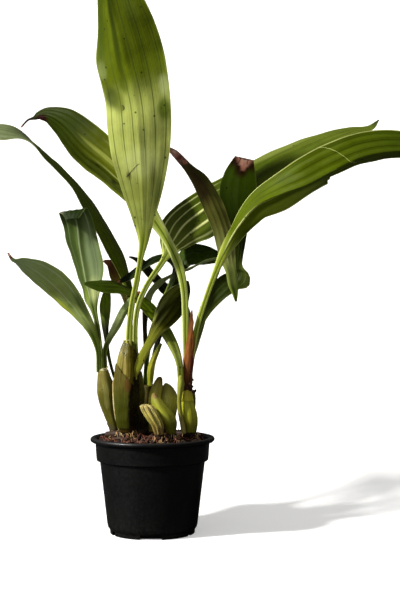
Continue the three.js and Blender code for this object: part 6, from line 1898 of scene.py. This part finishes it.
def on_leaf(name, across, along):
    """The point on a finished leaf's face, so far across it (-1 to 1) and along it (0 to 1)."""
    front, v, share = FRONTS[name]
    column = int(np.argmin(abs(v - across)))
    return [np.interp(along, share, front[:, column, axis]) for axis in range(3)]


def on_face(leaf_name, routes):
    lines = []
    for route in routes:
        steps = np.linspace(0, len(route) - 1, 6 * len(route))
        fine = [[np.interp(step, range(len(route)), part) for part in zip(*route)] for step in steps]
        lines.append([(*on_leaf(leaf_name, u, t), girth) for u, t, girth in fine])
    return lines


crease = on_face("leaf_right_long_blade", PALE_CREASE)
strands("crease_pale", "leaf_light", crease, ((132, 146, 48), (170, 180, 92), (190, 196, 120)))
scars = on_face("leaf_centre_tall_blade", DARK_SCARS)
strands("scars_dark", "leaf_light", scars, ((30, 28, 6), (52, 48, 12), (70, 66, 22)))

# %% [markdown]
# Old sheaths leave dry threads on the stems, and husk fibres that fray from the feet of the bulbs
# and bend down to the bark. The few threads are listed, and a seeded random source draws
# the many fibres, the same ones each time.

# %% Threads and fibres
THREADS = [
    [(-5.6, -6, 140, 0.3), (-5.9, -7, 134, 0.28), (-5.4, -8, 127, 0.22)],
    [(-38, 6, 227, 0.2), (-41, 4, 223, 0.25), (-41.6, 3, 215, 0.22), (-40.4, 3, 207, 0.16)],
    [(2.6, -9, 138, 0.25), (0.4, -14, 133, 0.25), (-0.6, -20, 126, 0.2), (0.8, -24, 118, 0.15)],
]
# The foot of each bulb, its girth there and its count of fibres
HUSKS = {
    (-25.2, -17): (7.4, 42), (8, -36): (4.4, 16), (20, -26): (4.6, 14), (37.8, -10): (5.6, 16),
    (-37.6, -6): (4.2, 8)}


def husk_lines():
    """Short fibres that leave a bulb's foot, stand off it a little and bend down to the bark."""
    source = np.random.default_rng(12)
    lines = []
    for (x, y), (radius, count) in HUSKS.items():
        for _ in range(count):
            angle, rise, flare = source.uniform(0, 2 * math.pi), source.uniform(2, 8), source.uniform(3, 8)
            line = []
            for t in (0, 0.35, 0.7, 1):
                reach = radius * (1 + 0.05 * rise * (1 - t)) + flare * t**1.5
                turn = angle + 0.7 * t * source.uniform(-1, 1)
                px, py = x + reach * math.cos(turn), y + reach * math.sin(turn)
                ground = soil_height(px, py) + 0.6
                line.append((px, py, ground + rise * (1 - t) ** 1.2, 0.46 - 0.22 * t))
            lines.append(line)
    return lines


strands("dry_threads", "sheath_dry", THREADS, ((110, 92, 50), (170, 150, 96), (196, 180, 130)))
strands("husk_fibres", "sheath_dry", husk_lines(), ((110, 76, 44), (178, 138, 88), (212, 182, 130)))

# %% [markdown]
# Last come dark scraps where old leaves came off, and drops of sap on the big bulb. Both are
# beads on given places, so one tree serves: a ball on each point, squashed, turned and made rough.
# Scraps are rough and dull, drops smooth and shiny.

# %% Scraps and drops
SCRAPS = [
    (-53.4, -6, 180.4, 1.5), (-53, -6, 177.6, 1.7), (41.2, -16, 141.6, 2.1), (43, -15, 142.6, 1.3),
    (37.6, -19, 149.5, 1.6), (35, -18.4, 146.2, 1.9), (40.2, -15.5, 153, 1.4), (25.6, -20, 145.8, 1.0),
    (39.4, -17, 146.6, 1.8)]
DROPS = [
    (-30.5, -26.5, 182.2, 0.8), (-25.2, -28.6, 179.4, 0.75), (-25.6, -29, 175.6, 0.4),
    (-20.4, -28.6, 145.2, 0.45), (-21.6, -29.4, 156, 0.35)]


def bead_tree():
    inputs = {"Points": GEOMETRY, "Rough": 0.0, "Squash": VECTOR, "Material": MATERIAL}
    tree, given, end = group("beads", "GeometryNodeTree", inputs, {"Mesh": GEOMETRY})
    laid = made(tree, "GeometryNodeInstanceOnPoints", {
        "Points": made(tree, "GeometryNodeMeshToPoints", {0: given["Points"]}),
        "Instance": made(tree, "GeometryNodeMeshIcoSphere", {"Radius": 1.0, "Subdivisions": 4}),
        "Rotation": random_vector(tree, (0, 0, 0), (0, 0, 6.283), 8),
        "Scale": vector(tree, "SCALE", given["Squash"], scale=girth_of(tree))})
    real = made(tree, "GeometryNodeRealizeInstances", {0: laid})
    lumps = noisy(tree, position(tree), 900.0, 3.0)
    push = times(tree, minus(tree, lumps, 0.5), given["Rough"])
    moved = made(tree, "GeometryNodeSetPosition", {"Geometry": real, "Offset": outward(tree, push)})
    return close(tree, given, end, moved)


def drop_finish():
    material, tree, spot = finish_start("sap_drop", 0.06, 0.6)
    cloud = cloudy(tree, spot, 300.0, 0.2)
    colour = mix(tree, cloud, (190, 184, 140), (226, 222, 196))
    tree.links.new(colour, tree.nodes["Principled BSDF"].inputs["Base Color"])
    return material


BEAD_TREE = bead_tree()
scrap = bark_finish("dry_scraps", (34, 18, 12), (78, 42, 28), (104, 62, 40))
for beads_name, places, rough, squash, finish, slot in (
        ("dry_scraps", SCRAPS, 0.0026, (1.0, 0.6, 0.75), scrap, "sheath_dry"),
        ("sap_drops", DROPS, 0.0, (1.0, 0.7, 1.1), drop_finish(), "bulb_olive")):
    carrier = polyline(beads_name, [[place] for place in places])
    show_tubes(grow(carrier, BEAD_TREE, rough=rough, squash=squash, material=finish), beads_name, slot)

# %% Size and finish
size = {"cad": [list(v) for v in cad_box], "scene": [list(v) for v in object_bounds()]}
print("size:", size)
